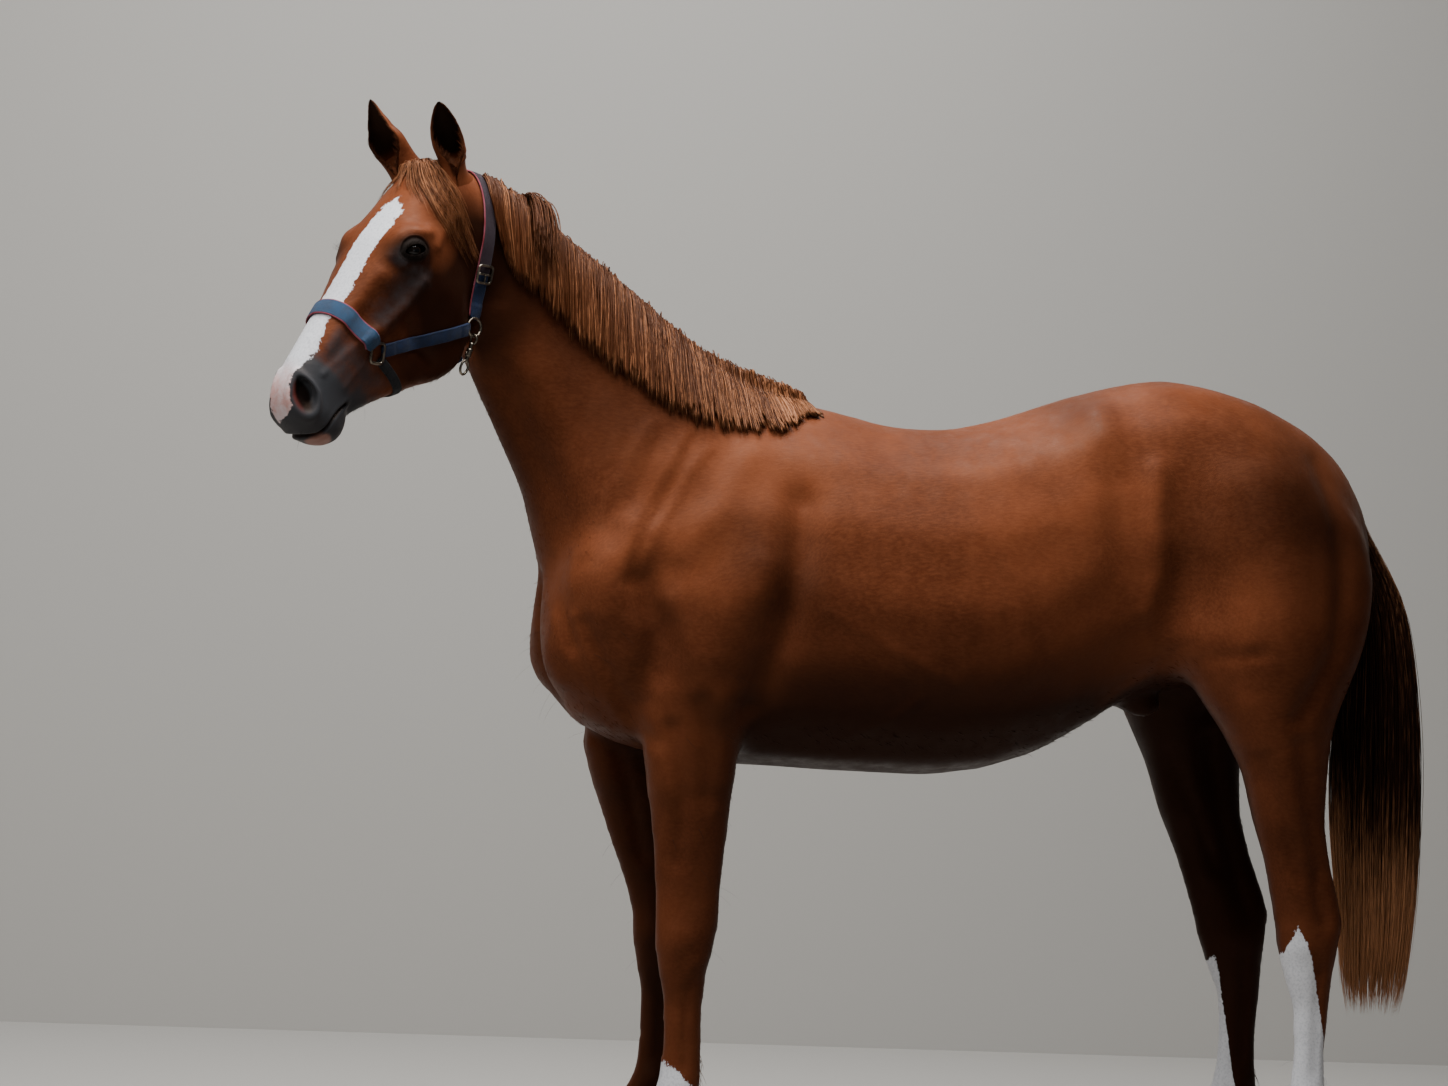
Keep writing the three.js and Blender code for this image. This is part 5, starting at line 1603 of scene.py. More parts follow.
def skin_spots(count, chosen):
    """Places spread evenly over the chosen part of the skin, with their normals."""
    faces = [face for face in face_list(skin_faces[:bare_count]) if len(face) == 4]
    rings = np.array(faces)
    centres = skin_points[rings].mean(axis=1)
    area_normals = np.cross(skin_points[rings[:, 2]] - skin_points[rings[:, 0]],
                            skin_points[rings[:, 3]] - skin_points[rings[:, 1]])
    weights = np.linalg.norm(area_normals, axis=1) * chosen(centres, unit(area_normals))
    picked = rng.choice(len(centres), count, p=weights / weights.sum())
    shares = rng.dirichlet([1, 1, 1, 1], count)
    return np.einsum("ij,ijk->ik", shares, skin_points[rings[picked]]), unit(area_normals[picked])


def hair_lie(points):
    """The way the coat lies: back along the trunk, down the legs and the face."""
    _, y, z = (points - ORIGIN).T
    head = head_share(points)[:, None]
    leg = ramp(z, 1.0, 0.78)[:, None]
    neck = (ramp(y, -0.02, -0.20) * ramp(z, 1.25, 1.4))[:, None]
    lie = np.array([0, 1, -0.45]) * (1 - neck) + np.array([0, 0.72, -0.70]) * neck
    lie = lie * (1 - leg) + np.array([0, 0.22, -1.0]) * leg
    return lie * (1 - head) + (0.8 * ALONG - 0.3 * FACE) * head


def tufts(roots, normals, lie, low, high, half, rise, curl=0.6, **over):
    """Short locks from the roots along their lie; they rise off the skin and curl back to it."""
    count = len(roots)
    lie = unit(lie - (lie * normals).sum(axis=1)[:, None] * normals + rng.normal(0, 0.12, (count, 3)))
    length = rng.uniform(low, high, count)[:, None, None]
    t = np.linspace(0, 1, TUFT_ROWS)[None, :, None]
    lift = rise * rng.uniform(0.7, 1.3, (count, 1, 1))
    paths = roots[:, None] + length * (lie[:, None] * t + normals[:, None] * lift * (t - curl * t ** 2))
    paths[:, 0] -= normals * 0.0015
    widths = half * rng.uniform(0.7, 1.2, (count, 1)) * (1 - 0.75 * t[..., 0] ** 2)
    fields = coat_fields(roots, normals)
    fields["ear"] = np.zeros(count)
    fields.update({name: np.full(count, value) for name, value in over.items()})
    return Locks(paths, np.broadcast_to(normals[:, None], paths.shape), widths, 0.4, **fields)


def whiskers():
    """Stiff single hairs on the lips and the chin."""
    def chosen(centres, normals):
        along, side, face = head_places(centres).T
        lips = (along > 0.50) & (face < -0.075) & (np.abs(side) > 0.008)
        chin = (along > 0.44) & (face < -0.15)
        return (lips | chin) * 1.0
    roots, normals = skin_spots(90, chosen)
    return tufts(roots, normals, hair_lie(roots), 0.014, 0.036, 0.00028, 2.4, 0.35, lid=1.0)


def lashes():
    """The upper lids' lashes, and sparser ones below."""
    bundles = []
    for eye in eye_frames:
        for up_sign, count, length in ((1, 74, 0.017), (-1, 26, 0.010)):
            share = rng.uniform(-0.86, 0.90, count)
            half_forward, half_up = lid_halves(np.full(count, 1.02), np.full(count, up_sign))
            forward = share * half_forward
            up = up_sign * half_up * (1 - np.abs(share) ** ARCH) ** ARCH_POWER
            starts = eye.spread(forward, up) + eye.out * 0.06
            roots = np.array([list(first_hit(whole_tree, start, -eye.out)) for start in starts])
            normals = np.tile(eye.up * up_sign, (count, 1))
            lie = eye.out + 0.5 * share[:, None] * eye.forward - 0.25 * up_sign * eye.up
            bundles.append(tufts(roots, normals, lie, 0.6 * length, length, 0.00022, 0.35, -0.8, lid=1.0))
    return bundles


def ear_hair():
    """Fine hair along both edges of each ear and across its opening."""
    shells = skin_points[-4 * EAR_ROWS * EAR_COLUMNS:].reshape(2, 2, EAR_ROWS, EAR_COLUMNS, 3)
    bundles = []
    for shell in shells[:, 0]:
        for column, other in ((0, -1), (-1, 0)):
            for count, low, high, length in ((170, 6, 30, 0.010), (130, 7, 17, 0.022)):
                place = rng.uniform(low, high, count)
                row = place.astype(int)
                part = (place - row)[:, None]
                roots = shell[row, column] * (1 - part) + shell[row + 1, column] * part
                up = unit(shell[row + 1, column] - shell[row, column])
                over = unit(shell[row, other] - shell[row, column])
                normals = unit(np.cross(over, up)) * (1 if column == 0 else -1)
                lie = up + rng.uniform(0.2, 0.9, (count, 1)) * over
                # The ears' hair takes part of their painted shade.
                bundles.append(tufts(roots, normals, lie, 0.5 * length, length, 0.00045, 0.25, ear=0.55))
    return bundles


def leg_hair():
    """Feathers behind the fetlocks and the fringe over the hooves."""
    def fetlocks(centres, normals):
        z = centres[:, 2] - ORIGIN[2]
        return (z > 0.10) * (z < 0.30) * ramp(normals[:, 1], 0.35, 0.8) * bell(z - 0.19, 0.06)

    def fringe(centres, normals):
        z = centres[:, 2] - ORIGIN[2]
        return (z > 0.060) * (z < 0.100) * (normals[:, 2] < 0.8)
    roots, normals = skin_spots(620, fetlocks)
    feathers = tufts(roots, normals, hair_lie(roots), 0.014, 0.034, 0.0010, 0.30)
    roots, normals = skin_spots(1100, fringe)
    return [feathers, tufts(roots, normals, hair_lie(roots), 0.008, 0.016, 0.0008, 0.12)]


def form_hair():
    """Tufts on the outline: jaw, throat, the undersides of the chest, elbows and belly, and the backs of
    the legs and thighs.
    """
    def jaw(centres, normals):
        along, _, face = head_places(centres).T
        under = ramp(-normals[:, 2], 0.35, 0.8)
        return (head_share(centres) > 0.5) * (face < -0.15) * (along < 0.5) * under

    def underside(centres, normals):
        z = centres[:, 2] - ORIGIN[2]
        return (z > 0.9) * (head_share(centres) < 0.1) * ramp(-normals[:, 2], 0.5, 0.9)

    def legs(centres, normals):
        z = centres[:, 2] - ORIGIN[2]
        return (z > 0.30) * (z < 1.1) * ramp(normals[:, 1], 0.4, 0.9)

    def throat(centres, normals):
        _, y, z = (centres - ORIGIN).T
        return (z > 1.0) * (y < -0.2) * (head_share(centres) < 0.4) * ramp(-normals[:, 1], 0.5, 0.9)
    bundles = []
    for chosen, count, low, high, half in (
            (jaw, 500, 0.006, 0.013, 0.0006), (underside, 1100, 0.008, 0.018, 0.0009),
            (legs, 1300, 0.006, 0.014, 0.0008), (throat, 700, 0.006, 0.013, 0.0008)):
        roots, normals = skin_spots(count, chosen)
        bundles.append(tufts(roots, normals, hair_lie(roots), low, high, half, 0.16))
    return bundles


whole_tree = surface_tree(skin_points, skin_faces)
hair_piece("lashes_and_whiskers", lashes() + [whiskers()], [], coat_material, whole_tree)
hair_piece("ear_hair", ear_hair(), [], coat_material, whole_tree)
hair_piece("coat_tufts", leg_hair() + form_hair(), [], coat_material, whole_tree)


# ---- halter -------------------------------------------------------------------------------------
# Where its parts cross the head, as (along, face).
JAW_RING, NOSE_RING = (0.190, -0.280), (0.390, -0.127)
NOSE_TOP, CHIN_UNDER = (0.374, -0.016), (0.392, -0.240)
JOWL_UNDER, CROWN = (0.268, -0.338), (-0.112, -0.076)
NOSEBAND_WIDTH, STRAP_WIDTH, CHIN_WIDTH, THROAT_WIDTH = 0.033, 0.026, 0.020, 0.013
STRAP_THICK = 0.0030
DOUBLED = 0.030
PIPING = 0.0016
BUCKLE_ALONG = 0.104
THROAT_START = 0.062  # the throat strap hangs by its snap, this far down from the jaw's ring
BAND_GAP, CHEEK_GAP = 0.016, 0.014  # from a ring's middle to a strap's end
# The straps' colours on the webbing's trim field; the padded noseband's lighter blue is painted light and
# the chin band's near black is painted shade.
PLAIN_BLUE, PLUM_BAND, PADDED, CHIN_BAND = 0.0, 2.0, 3.0, 4.0
# Steel: half sizes of a ring or frame, and the radius of its bar.
JAW_RING_HALF, JAW_RING_BAR, JAW_RING_LIFT = 0.0180, 0.0029, 0.012
NOSE_RING_HALVES, NOSE_RING_BAR, NOSE_RING_LIFT = (0.0195, 0.0165), 0.0031, 0.0075
NOSE_RING_SLANT = math.radians(35)
BUCKLE_HALVES, BUCKLE_BAR, BUCKLE_LIFT = (0.0185, 0.0170), 0.0026, 0.0085

OTHER_SIDE = 10  # added to a distance, it rules out the head's other side
CLEAR_OF_HEAD = 0.3  # lines onto the skin start this far out


def hull(points):
    """The convex outline of places in a plane, turning left."""
    order = sorted(map(tuple, points))
    ends = []
    for run in (order, order[::-1]):
        side = []
        for point in run:
            while len(side) > 1:
                first, second = side[-2], side[-1]
                turn = ((second[0] - first[0]) * (point[1] - first[1])
                        - (second[1] - first[1]) * (point[0] - first[0]))
                if turn > 0:
                    break
                side.pop()
            side.append(point)
        ends += side[:-1]
    return np.array(ends)


def resampled(points, step):
    lengths = np.append(0, np.cumsum(np.linalg.norm(np.diff(points, axis=0), axis=1)))
    count = max(int(lengths[-1] / step), 4)
    stations = np.linspace(0, lengths[-1], count)
    return np.stack([np.interp(stations, lengths, column) for column in points.T], axis=1), stations


def band_path(first, second, centre_share):
    """The taut line round the head in the plane through two lines across it, between its sides."""
    start, end = on_head(first[0], 0, first[1]), on_head(second[0], 0, second[1])
    up = unit(end - start)
    centre = start + (end - start) * centre_share
    outline = []
    for turn in np.linspace(0, 2 * math.pi, 240, endpoint=False):
        out = math.cos(turn) * up + math.sin(turn) * SIDE
        hit = first_hit(skin_tree, centre + out * CLEAR_OF_HEAD, -out)
        if hit is not None:
            away = np.array(hit) - start
            outline.append((away @ up, away @ SIDE))
    ring, _ = resampled(np.concatenate([hull(outline)] * 2), 0.002)
    ring = ring[:len(ring) // 2]
    left = np.argmin(np.abs(ring[:, 0]) + OTHER_SIDE * (ring[:, 1] < 0))
    right = np.argmin(np.abs(ring[:, 0]) + OTHER_SIDE * (ring[:, 1] > 0))
    forward = np.roll(ring, -left, axis=0)[:(right - left) % len(ring) + 1]
    backward = np.roll(ring, -right, axis=0)[:(left - right) % len(ring) + 1][::-1]
    path = forward if forward[:, 0].mean() > backward[:, 0].mean() else backward
    path = start + path[:, :1] * up + path[:, 1:] * SIDE
    return path, unit(np.cross(up, SIDE)), centre


def side_path(first, second, hand):
    """A line along one side of the head, from one place to another."""
    path = []
    for share in np.linspace(0, 1, 40):
        along = first[0] + (second[0] - first[0]) * share
        face = first[1] + (second[1] - first[1]) * share
        hit = first_hit(skin_tree, on_head(along, hand * CLEAR_OF_HEAD, face), -hand * SIDE)
        path.append(hit if hit is not None else on_head(along, hand * 0.06, face))
    path = np.array(path)
    for _ in range(12):
        centre = path.mean(0)
        inner = path[1:-1] - centre
        chord = (path[:-2] + path[2:]) / 2 - centre
        out = np.maximum(inner @ SIDE * hand, chord @ SIDE * hand)
        path[1:-1] = out[:, None] * SIDE * hand + (path[1:-1] - (inner @ SIDE)[:, None] * SIDE)
    run = unit(on_head(second[0], 0, second[1]) - on_head(first[0], 0, first[1]))
    return path, unit(np.cross(run, SIDE))


def laid_strap(path, across, width, outward):
    """Tilts a strap's stations so that both its edges clear the skin."""
    path, stations = resampled(path, 0.0035)
    run = unit(np.gradient(path, axis=0))
    wide = unit(across - (run @ across)[:, None] * run)
    out = unit(np.cross(run, wide))
    out *= np.sign((out * outward(path)).sum(axis=1))[:, None]
    heights = []
    for share in (-0.5, 0, 0.5):
        edge = path + wide * width * share
        rows = []
        for point, lift in zip(edge, out):
            hit = first_hit(skin_tree, point + lift * 0.05, -lift)
            rows.append(0.0 if hit is None else float((np.array(hit) - point) @ lift))
        heights.append(np.clip(rows, -0.010, 0.012))
    low, middle_height, high = heights
    tilt = (high - low) / width
    rise = np.maximum(middle_height, (high + low) / 2) + 0.0010
    blur = np.ones(9) / 9
    tilt = blurred(tilt, blur)
    rise = np.maximum(blurred(rise, blur), rise)
    wide_tilted = unit(wide + out * tilt[:, None])
    out_tilted = unit(out - wide * tilt[:, None])
    return path + out * rise[:, None], wide_tilted, out_tilted, stations


def swept(path, wide, out, outline):
    """A closed body with the outline (across, out) carried along the path."""
    outline = np.asarray(outline)
    if outline.ndim == 2:
        outline = np.repeat(outline[None], len(path), axis=0)
    points = path[:, None] + outline[..., :1] * wide[:, None] + outline[..., 1:] * out[:, None]
    rows, around = points.shape[:2]
    faces = ring_quads(rows, around)
    faces.append(list(range(around))[::-1])
    faces.append([(rows - 1) * around + k for k in range(around)])
    return points.reshape(-1, 3), faces


# Round a strap's edge from its underside: [in from the edge, share of its thickness].
STRAP_EDGE = [(0.0015, 0.0), (0.0, 0.1), (0.0, 0.35), (0.0006, 0.85), (0.002, 1.0), (0.0040, 0.90),
              (0.006, 1.0)]
STRAP_CROWN = 1.03


def strap_outline(width, thick):
    """Across a strap: a flat band with soft edges and a shallow channel inside each of them."""
    half = width / 2
    right = [(half - inward, share * thick) for inward, share in STRAP_EDGE]
    left = [(-x, y) for x, y in right[::-1]]
    return np.array(right + [(0.0, STRAP_CROWN * thick)] + left)


TUBE_SLANT = (0.31, 0.52, 0.80)


class Assembly:
    """Bodies joined into one object, with fields for its material."""

    def __init__(self):
        self.points, self.faces, self.fields, self.count = [], [], [], 0

    def add(self, points, faces, across=0.0, along=0.0, trim=0.0):
        self.faces += [[corner + self.count for corner in face] for face in faces]
        self.points.append(points)
        fields = [np.broadcast_to(np.asarray(value, float), len(points)) for value in (across, along, trim)]
        self.fields.append(np.stack(fields, axis=1))
        self.count += len(points)

    def tube(self, path, radius, trim=0.0, closed=False, sides=10):
        """A round bar along the path; the slant only has to differ from every run of it."""
        ahead = np.roll(path, -1, axis=0) - np.roll(path, 1, axis=0)
        run = unit(ahead if closed else np.gradient(path, axis=0))
        wide = unit(np.cross(run, TUBE_SLANT))
        out = unit(np.cross(run, wide))
        turns = np.arange(sides) * 2 * math.pi / sides
        circle = np.stack([np.cos(turns), np.sin(turns)], axis=1) * radius
        points, faces = swept(path, wide, out, circle)
        if closed:
            faces = faces[:-2]
            last = (len(path) - 1) * sides
            faces += [[last + k, last + (k + 1) % sides, (k + 1) % sides, k] for k in range(sides)]
        self.add(points, faces, trim=trim)

    def finish(self, name, node, slot, material):
        obj = make_mesh(name, np.concatenate(self.points), self.faces)
        work = bmesh.new()
        work.from_mesh(obj.data)
        bmesh.ops.recalc_face_normals(work, faces=work.faces)
        work.to_mesh(obj.data)
        work.free()
        attributes(obj, dict(zip(("across", "along", "trim"), np.concatenate(self.fields).T)))
        place_piece(obj, [node], material)


def webbing_strap(node, laid, width, thick, piping, material, colour):
    """A strap whose ends are doubled back over its rings, with piping along its chosen edges."""
    path, wide, out, stations = laid
    fold = np.minimum(stations, stations[-1] - stations)
    plies = 1 + 0.75 * ramp(fold, DOUBLED, DOUBLED - 0.002)
    base = strap_outline(width, thick)
    outline = np.repeat(base[None], len(path), axis=0)
    outline[..., 1] *= plies[:, None]
    narrow = 1 - 0.22 * ramp(fold, 0.008, 0.0)
    outline[..., 0] *= narrow[:, None]
    made = Assembly()
    points, faces = swept(path, wide, out, outline)
    around = len(base)
    made.add(points, faces, np.tile(base[:, 0], len(path)) * MILLIMETRES,
             np.repeat(stations, around) * MILLIMETRES,
             np.repeat(np.broadcast_to(colour, len(path)), around))
    keep = fold > 0.004
    for hand in piping:
        edge = path + wide * (hand * width / 2) + out * (thick * 0.55)
        made.tube(edge[keep], PIPING, trim=1.0)
    made.finish(node + "_webbing", node, "webbing", material)


def loop_path(centre, first, second, halves, squareness=2, count=48):
    """A closed line in the plane of two axes: round at a squareness of 2, squarer above it."""
    turns = np.linspace(0, 2 * math.pi, count, endpoint=False)
    power = 2 / squareness
    x = np.sign(np.cos(turns)) * np.abs(np.cos(turns)) ** power * halves[0]
    y = np.sign(np.sin(turns)) * np.abs(np.sin(turns)) ** power * halves[1]
    return centre + x[:, None] * first + y[:, None] * second


def side_frame(place, hand):
    """Beside a place of the head's profile: the skin's place there, forward, up and out."""
    start = on_head(place[0], hand * CLEAR_OF_HEAD, place[1])
    hit, normal, _, _ = skin_tree.ray_cast(start.tolist(), (-hand * SIDE).tolist())
    out = unit(np.array(normal) + hand * SIDE * 1.5)
    forward = unit(ALONG - (ALONG @ out) * out)
    return np.array(hit), forward, unit(np.cross(out, forward)), out


NAVY = (0.007, 0.020, 0.068)
NAVY_DEEP = (0.003, 0.008, 0.028)
NAVY_THREAD = (0.016, 0.038, 0.100)
NOSEBAND_LIT_BLUE = (0.020, 0.058, 0.118)
PLUM = (0.020, 0.009, 0.015)
CHIN_SHADE_BLACK = (0.0030, 0.0028, 0.0045)
PIPING_RED = (0.170, 0.014, 0.022)
PIPING_PINK = (0.260, 0.060, 0.085)
WEFT_STEP, WARP_STEP = 1.5, 1.3  # millimetres
RUST_BROWN = (0.12, 0.10, 0.08)
BARE_STEEL = (0.30, 0.26, 0.20)


def webbing_look():
    """Woven navy tape; its trim field is 1 on the piping, and else the strap's colour: the noseband's
    lighter blue is painted light, the chin strap's near black painted shade.
    """
    look = Look("navy_webbing")
    across, along, trim = look.field("across"), look.field("along"), look.field("trim")
    weft = look.maths("SINE", look.maths("MULTIPLY", along, 2 * math.pi / WEFT_STEP), 0)
    warp = look.maths("SINE", look.maths("MULTIPLY", across, 2 * math.pi / WARP_STEP), 0)
    weave = look.maths("MULTIPLY", weft, warp)
    worn = look.noise(55, 4, 0.65)
    padded = look.maths("MULTIPLY", look.span(trim, 2.5, 3.0), look.span(worn, 0.25, 0.7, 0.55, 1.0))
    piping = look.maths("MULTIPLY", look.span(trim, 0.5, 1.0), look.span(trim, 2.0, 1.5))
    colour = look.layered(NAVY_DEEP, [
        (look.span(worn, 0.35, 0.75), NAVY),
        (look.span(weave, -0.4, 1.0, 0, 0.35), NAVY_THREAD),
        (look.span(trim, 1.5, 2.0), PLUM),
        # Painted light: the padded noseband is coloured a lighter, patchy blue.
        (look.maths("MULTIPLY", padded, look.span(trim, 3.5, 3.0)), NOSEBAND_LIT_BLUE),
        # Painted shade: the chin strap is near black.
        (look.span(trim, 3.2, 3.8), CHIN_SHADE_BLACK),
        (piping, look.mix(look.span(worn, 0.3, 0.7), PIPING_RED, PIPING_PINK)),
    ])
    normal = look.bump(weave, 0.0005, 0.6, look.bump(worn, 0.0006, 0.2))
    return look.finish(colour, look.span(worn, 0.3, 0.7, 0.62, 0.8), normal, Sheen_Weight=0.08,
                       Sheen_Roughness=0.4, Specular_IOR_Level=0.25)


def steel_look():
    """Worn steel with brown patches."""
    look = Look("worn_steel")
    scuffs = look.noise(240, 5, 0.7)
    patches = look.noise(45, 3, 0.6)
    colour = look.mix(look.span(patches, 0.35, 0.7), RUST_BROWN, BARE_STEEL)
    rough = look.span(scuffs, 0.3, 0.75, 0.24, 0.46)
    return look.finish(colour, rough, look.bump(scuffs, 0.0003, 0.3), Metallic=1.0)


def away_from(centre):
    return lambda path: path - centre


# The throat strap's snap, down from the ring: places and half sizes, then its bars' radii.
SNAP_EYE, SNAP_EYE_HALVES = 0.004, (0.0080, 0.0090)
SNAP_STEM = (0.012, 0.052)
SNAP_HOOK, SNAP_HOOK_HALVES = 0.062, (0.0100, 0.0140)
SNAP_WIRE, SNAP_STEM_BAR, SNAP_SLEEVE_BAR, SNAP_HOOK_BAR = 0.0022, 0.0042, 0.0064, 0.0026
SNAP_LEAN = (0, -0.24, 0)


def add_snap(made, top, out, down):
    """The snap that hangs from the ring: its eye, stem, sleeve, thumb piece and hook."""
    drop = unit(down + SNAP_LEAN)
    across = unit(np.cross(drop, out))
    eye_loop = loop_path(top + down * SNAP_EYE, out, down, SNAP_EYE_HALVES, count=28)
    made.tube(eye_loop, SNAP_WIRE, closed=True)
    stem = top + drop * np.linspace(*SNAP_STEM, 11)[:, None]
    made.tube(stem, SNAP_STEM_BAR)
    made.tube(stem[3:8], SNAP_SLEEVE_BAR)
    made.tube(stem[5:7] + across * 0.006, SNAP_WIRE)
    hook = loop_path(top + drop * SNAP_HOOK, across, drop, SNAP_HOOK_HALVES, count=28)
    made.tube(hook, SNAP_HOOK_BAR, closed=True)


# Round the head: name, its two lines, where its middle lies between them, width, thickness,
# piped edges, colour.
BANDS = (
    ("noseband", NOSE_RING, NOSE_TOP, 0.45, NOSEBAND_WIDTH, 0.0050, (1, -1), PADDED),
    ("chin_strap", NOSE_RING, CHIN_UNDER, 0.45, CHIN_WIDTH, 0.0030, (), CHIN_BAND),
    ("throat_strap", JAW_RING, JOWL_UNDER, 0.15, THROAT_WIDTH, 0.0035, (), PLAIN_BLUE),
    ("crownpiece", JAW_RING, CROWN, 0.45, STRAP_WIDTH, 0.0042, (-1,), PLUM_BAND),
)


def between_rings(path, start, end):
    """The part of a strap's line that is left between its ends' gaps."""
    trimmed, stations = resampled(path, 0.002)
    return trimmed[(stations > start) & (stations < stations[-1] - end)]


def make_band(name, first, second, share, width, thick, piping, colour, webbing):
    path, across, centre = band_path(first, second, share)
    start = THROAT_START if name == "throat_strap" else BAND_GAP
    laid = laid_strap(between_rings(path, start, BAND_GAP), across, width, away_from(centre))
    if name == "crownpiece":
        colour = np.where(head_places(laid[0])[:, 0] < BUCKLE_ALONG, colour, PLAIN_BLUE)
    webbing_strap("halter_" + name, laid, width, thick, piping, webbing, colour)


def make_cheek_strap(name, hand, webbing):
    path, across = side_path(JAW_RING, NOSE_RING, hand)
    laid = laid_strap(between_rings(path, CHEEK_GAP, CHEEK_GAP), across, STRAP_WIDTH,
                      lambda line: np.broadcast_to(hand * SIDE, line.shape))
    webbing_strap("halter_cheek_strap_" + name, laid, STRAP_WIDTH, STRAP_THICK, (), webbing, PLAIN_BLUE)


def make_jaw_ring(name, hand, steel):
    """A round ring that hangs flat on the cheek; the left one carries the snap."""
    made = Assembly()
    place, _, _, out = side_frame(JAW_RING, hand)
    out = unit(out + hand * SIDE * 1.5)
    down = unit(DOWN - (DOWN @ out) * out)
    centre = place + out * JAW_RING_LIFT
    ring = loop_path(centre, np.cross(out, down), down, (JAW_RING_HALF, JAW_RING_HALF))
    made.tube(ring, JAW_RING_BAR, closed=True)
    if hand == LEFT:
        add_snap(made, centre + down * 0.0185, out, down)
    made.finish("halter_jaw_ring_" + name + "_steel", "halter_jaw_ring_" + name, "steel", steel)


def make_nose_ring(name, hand, steel):
    """A rectangular frame, aslant on the side of the nose."""
    made = Assembly()
    place, forward, up, out = side_frame(NOSE_RING, hand)
    first = math.cos(NOSE_RING_SLANT) * forward + math.sin(NOSE_RING_SLANT) * up
    second = unit(np.cross(out, first))
    made.tube(loop_path(place + out * NOSE_RING_LIFT, first, second, NOSE_RING_HALVES, 5),
              NOSE_RING_BAR, closed=True)
    made.finish("halter_nose_ring_" + name + "_steel", "halter_nose_ring_" + name, "steel", steel)


def make_buckle(steel):
    """A two-bar frame with its tongue, on the crownpiece's left side."""
    path, across, centre = band_path(JAW_RING, CROWN, 0.45)
    places = head_places(path)
    near = np.argmin(np.abs(places[:, 0] - BUCKLE_ALONG) + OTHER_SIDE * (places[:, 1] < 0))
    run = unit(path[near - 6] - path[near + 6])
    out = unit(np.cross(run, across))
    out = out * np.sign(out @ (path[near] - centre))
    at = path[near] + out * BUCKLE_LIFT
    made = Assembly()
    made.tube(loop_path(at, across, run, BUCKLE_HALVES, 6), BUCKLE_BAR, closed=True)
    bar = at + across * np.linspace(-0.0175, 0.0175, 7)[:, None]
    made.tube(bar, 0.0022)
    tongue = at + run * np.linspace(0, 0.0185, 7)[:, None] + out * 0.0024
    made.tube(tongue, 0.0018)
    made.finish("halter_buckle_steel", "halter_buckle", "steel", steel)


def make_halter():
    """The straps round the head and along its sides, then the steel."""
    webbing, steel = webbing_look(), steel_look()
    for band in BANDS:
        make_band(*band, webbing)
    for name, hand in (("left", LEFT), ("right", RIGHT)):
        make_cheek_strap(name, hand, webbing)
        make_jaw_ring(name, hand, steel)
        make_nose_ring(name, hand, steel)
    make_buckle(steel)


make_halter()


# ---- stage: camera, light, floor ----------------------------------------------------------------
CAMERA_AZIMUTH = math.radians(11)
CAMERA_DISTANCE = 8.5
CAMERA_HEIGHT = 1.10
CAMERA_TARGET = on_body(0, 0, 1.30)
CAMERA_ROLL = math.radians(2.8)
CAMERA_LENS, CAMERA_SENSOR = 105.66, 36  # millimetres
STAGE_PALE = (0.40, 0.385, 0.36)
STAGE_SIZE = 60
WALL_X = -3.2
# Name, place, target, size, watts.
LIGHTS = [
    ("top", (0.9, -1.0, 4.7), (0, -0.4, 1.0), (2.0, 2.8), 250),
    ("key", (2.8, -5.0, 4.4), (0, -0.5, 1.4), (1.4, 1.4), 125),
    ("fill", (6.0, 1.0, 1.8), (0, 0.2, 1.1), (2.0, 2.0), 8),
    ("wall", (-1.3, 0.3, 5.5), (WALL_X, 0.3, 1.0), (0.6, 7.0), 200),
]
SKY_COLOUR, SKY_STRENGTH = (0.75, 0.78, 0.82, 1), 0.07


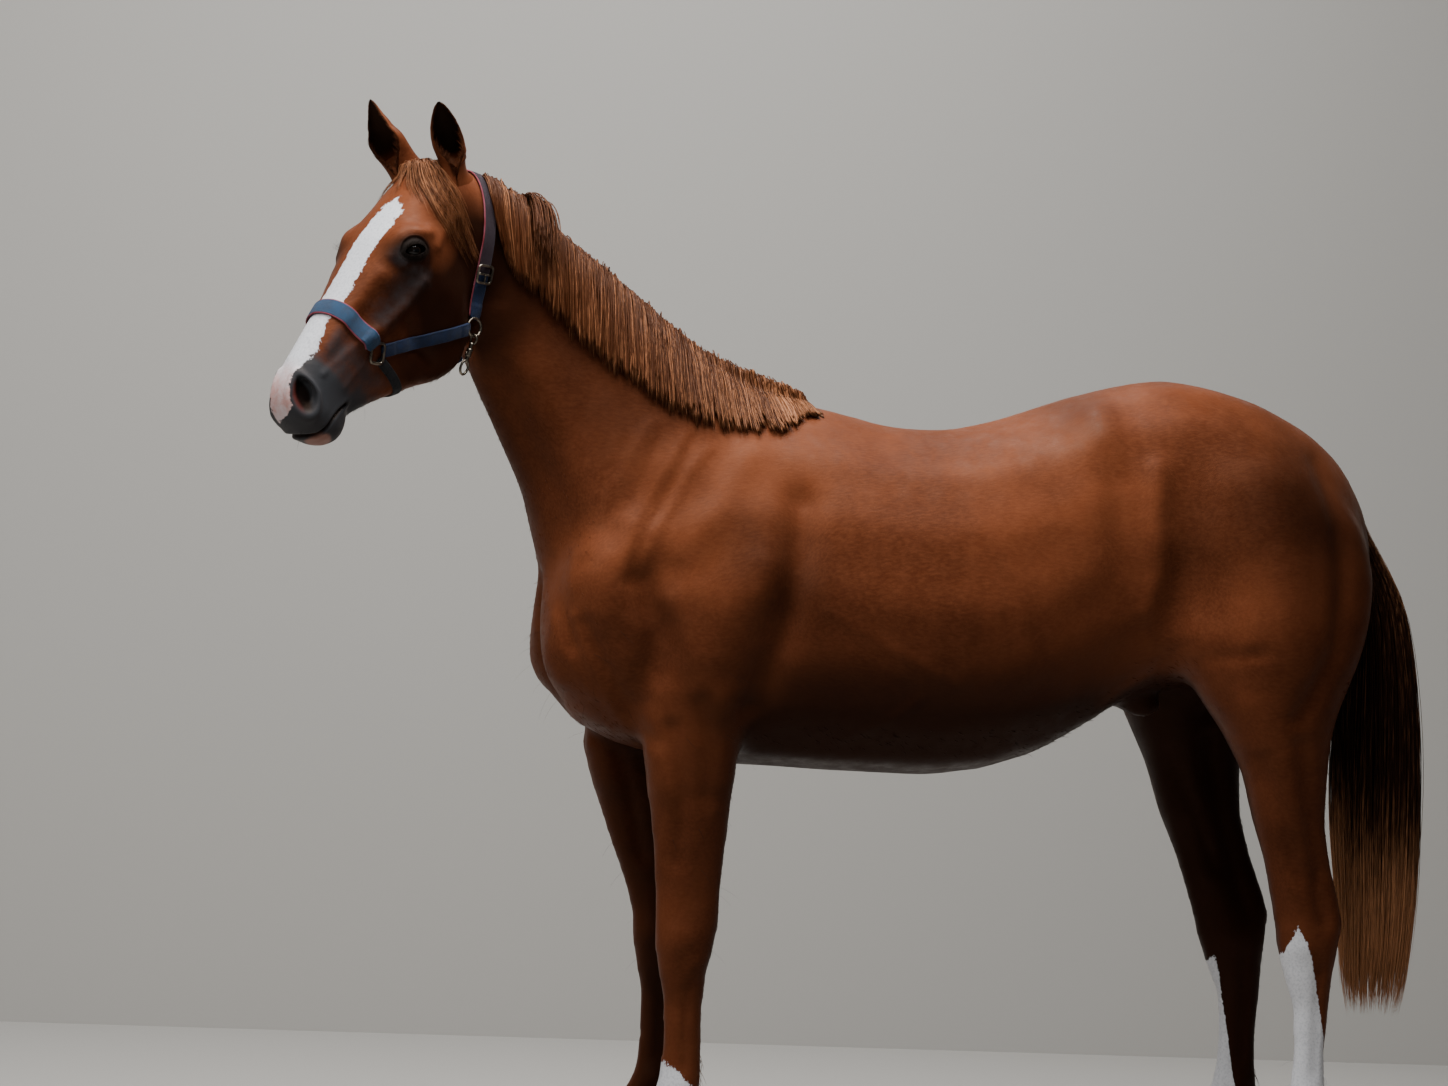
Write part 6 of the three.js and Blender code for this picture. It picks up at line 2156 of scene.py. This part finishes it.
def make_camera():
    """The camera at the horse's left, rolled as the photo's is."""
    toward = np.array([-math.cos(CAMERA_AZIMUTH), math.sin(CAMERA_AZIMUTH), 0.0])
    place = CAMERA_TARGET - toward * CAMERA_DISTANCE
    place[2] = CAMERA_HEIGHT
    forward = unit(CAMERA_TARGET - place)
    right = unit(np.cross(forward, [0, 0, 1]))
    up = np.cross(right, forward)
    rolled_right = math.cos(CAMERA_ROLL) * right + math.sin(CAMERA_ROLL) * up
    rolled_up = math.cos(CAMERA_ROLL) * up - math.sin(CAMERA_ROLL) * right
    data = bpy.data.cameras.new("camera")
    data.lens = CAMERA_LENS
    data.sensor_width = CAMERA_SENSOR
    camera = bpy.data.objects.new("camera", data)
    turn = Matrix([rolled_right, rolled_up, -forward]).transposed().to_4x4()
    camera.matrix_world = Matrix.Translation(place) @ turn
    bpy.context.scene.collection.objects.link(camera)
    bpy.context.scene.camera = camera


def area_light(name, place, target, size, power):
    data = bpy.data.lights.new(name, "AREA")
    data.shape = "RECTANGLE"
    data.size, data.size_y = size
    data.energy = power
    light = bpy.data.objects.new(name, data)
    light.location = place
    light.rotation_euler = (Vector(target) - Vector(place)).to_track_quat("-Z", "Y").to_euler()
    bpy.context.scene.collection.objects.link(light)


def stage_look(name, one_sided):
    """Plain pale paint; one-sided paint isn't seen from behind."""
    look = Look(name)
    paint = look.finish(STAGE_PALE, 0.9)
    if one_sided:
        clear = look.node("ShaderNodeBsdfTransparent")
        either = look.node("ShaderNodeMixShader")
        look.join(look.node("ShaderNodeNewGeometry").outputs["Backfacing"], either.inputs[0])
        look.join(look.shader.outputs[0], either.inputs[1])
        look.join(clear.outputs[0], either.inputs[2])
        look.join(either.outputs[0], look.tree.nodes["Material Output"].inputs["Surface"])
    return paint


def make_stage():
    """Camera, lights, sky, floor and backdrop."""
    make_camera()
    for light in LIGHTS:
        area_light(*light)
    world = bpy.data.worlds.new("studio")
    world.use_nodes = True
    sky = world.node_tree.nodes["Background"]
    sky.inputs["Color"].default_value = SKY_COLOUR
    sky.inputs["Strength"].default_value = SKY_STRENGTH
    bpy.context.scene.world = world
    upright = math.radians(90)
    for name, x, tilt, one_sided in (("floor", 0, 0, False), ("backdrop", WALL_X, upright, True)):
        bpy.ops.mesh.primitive_plane_add(size=STAGE_SIZE, location=(x, 0, 0), rotation=(0, tilt, 0))
        piece = bpy.context.object
        piece.name = name
        piece.data.materials.append(stage_look(name, one_sided))


make_stage()
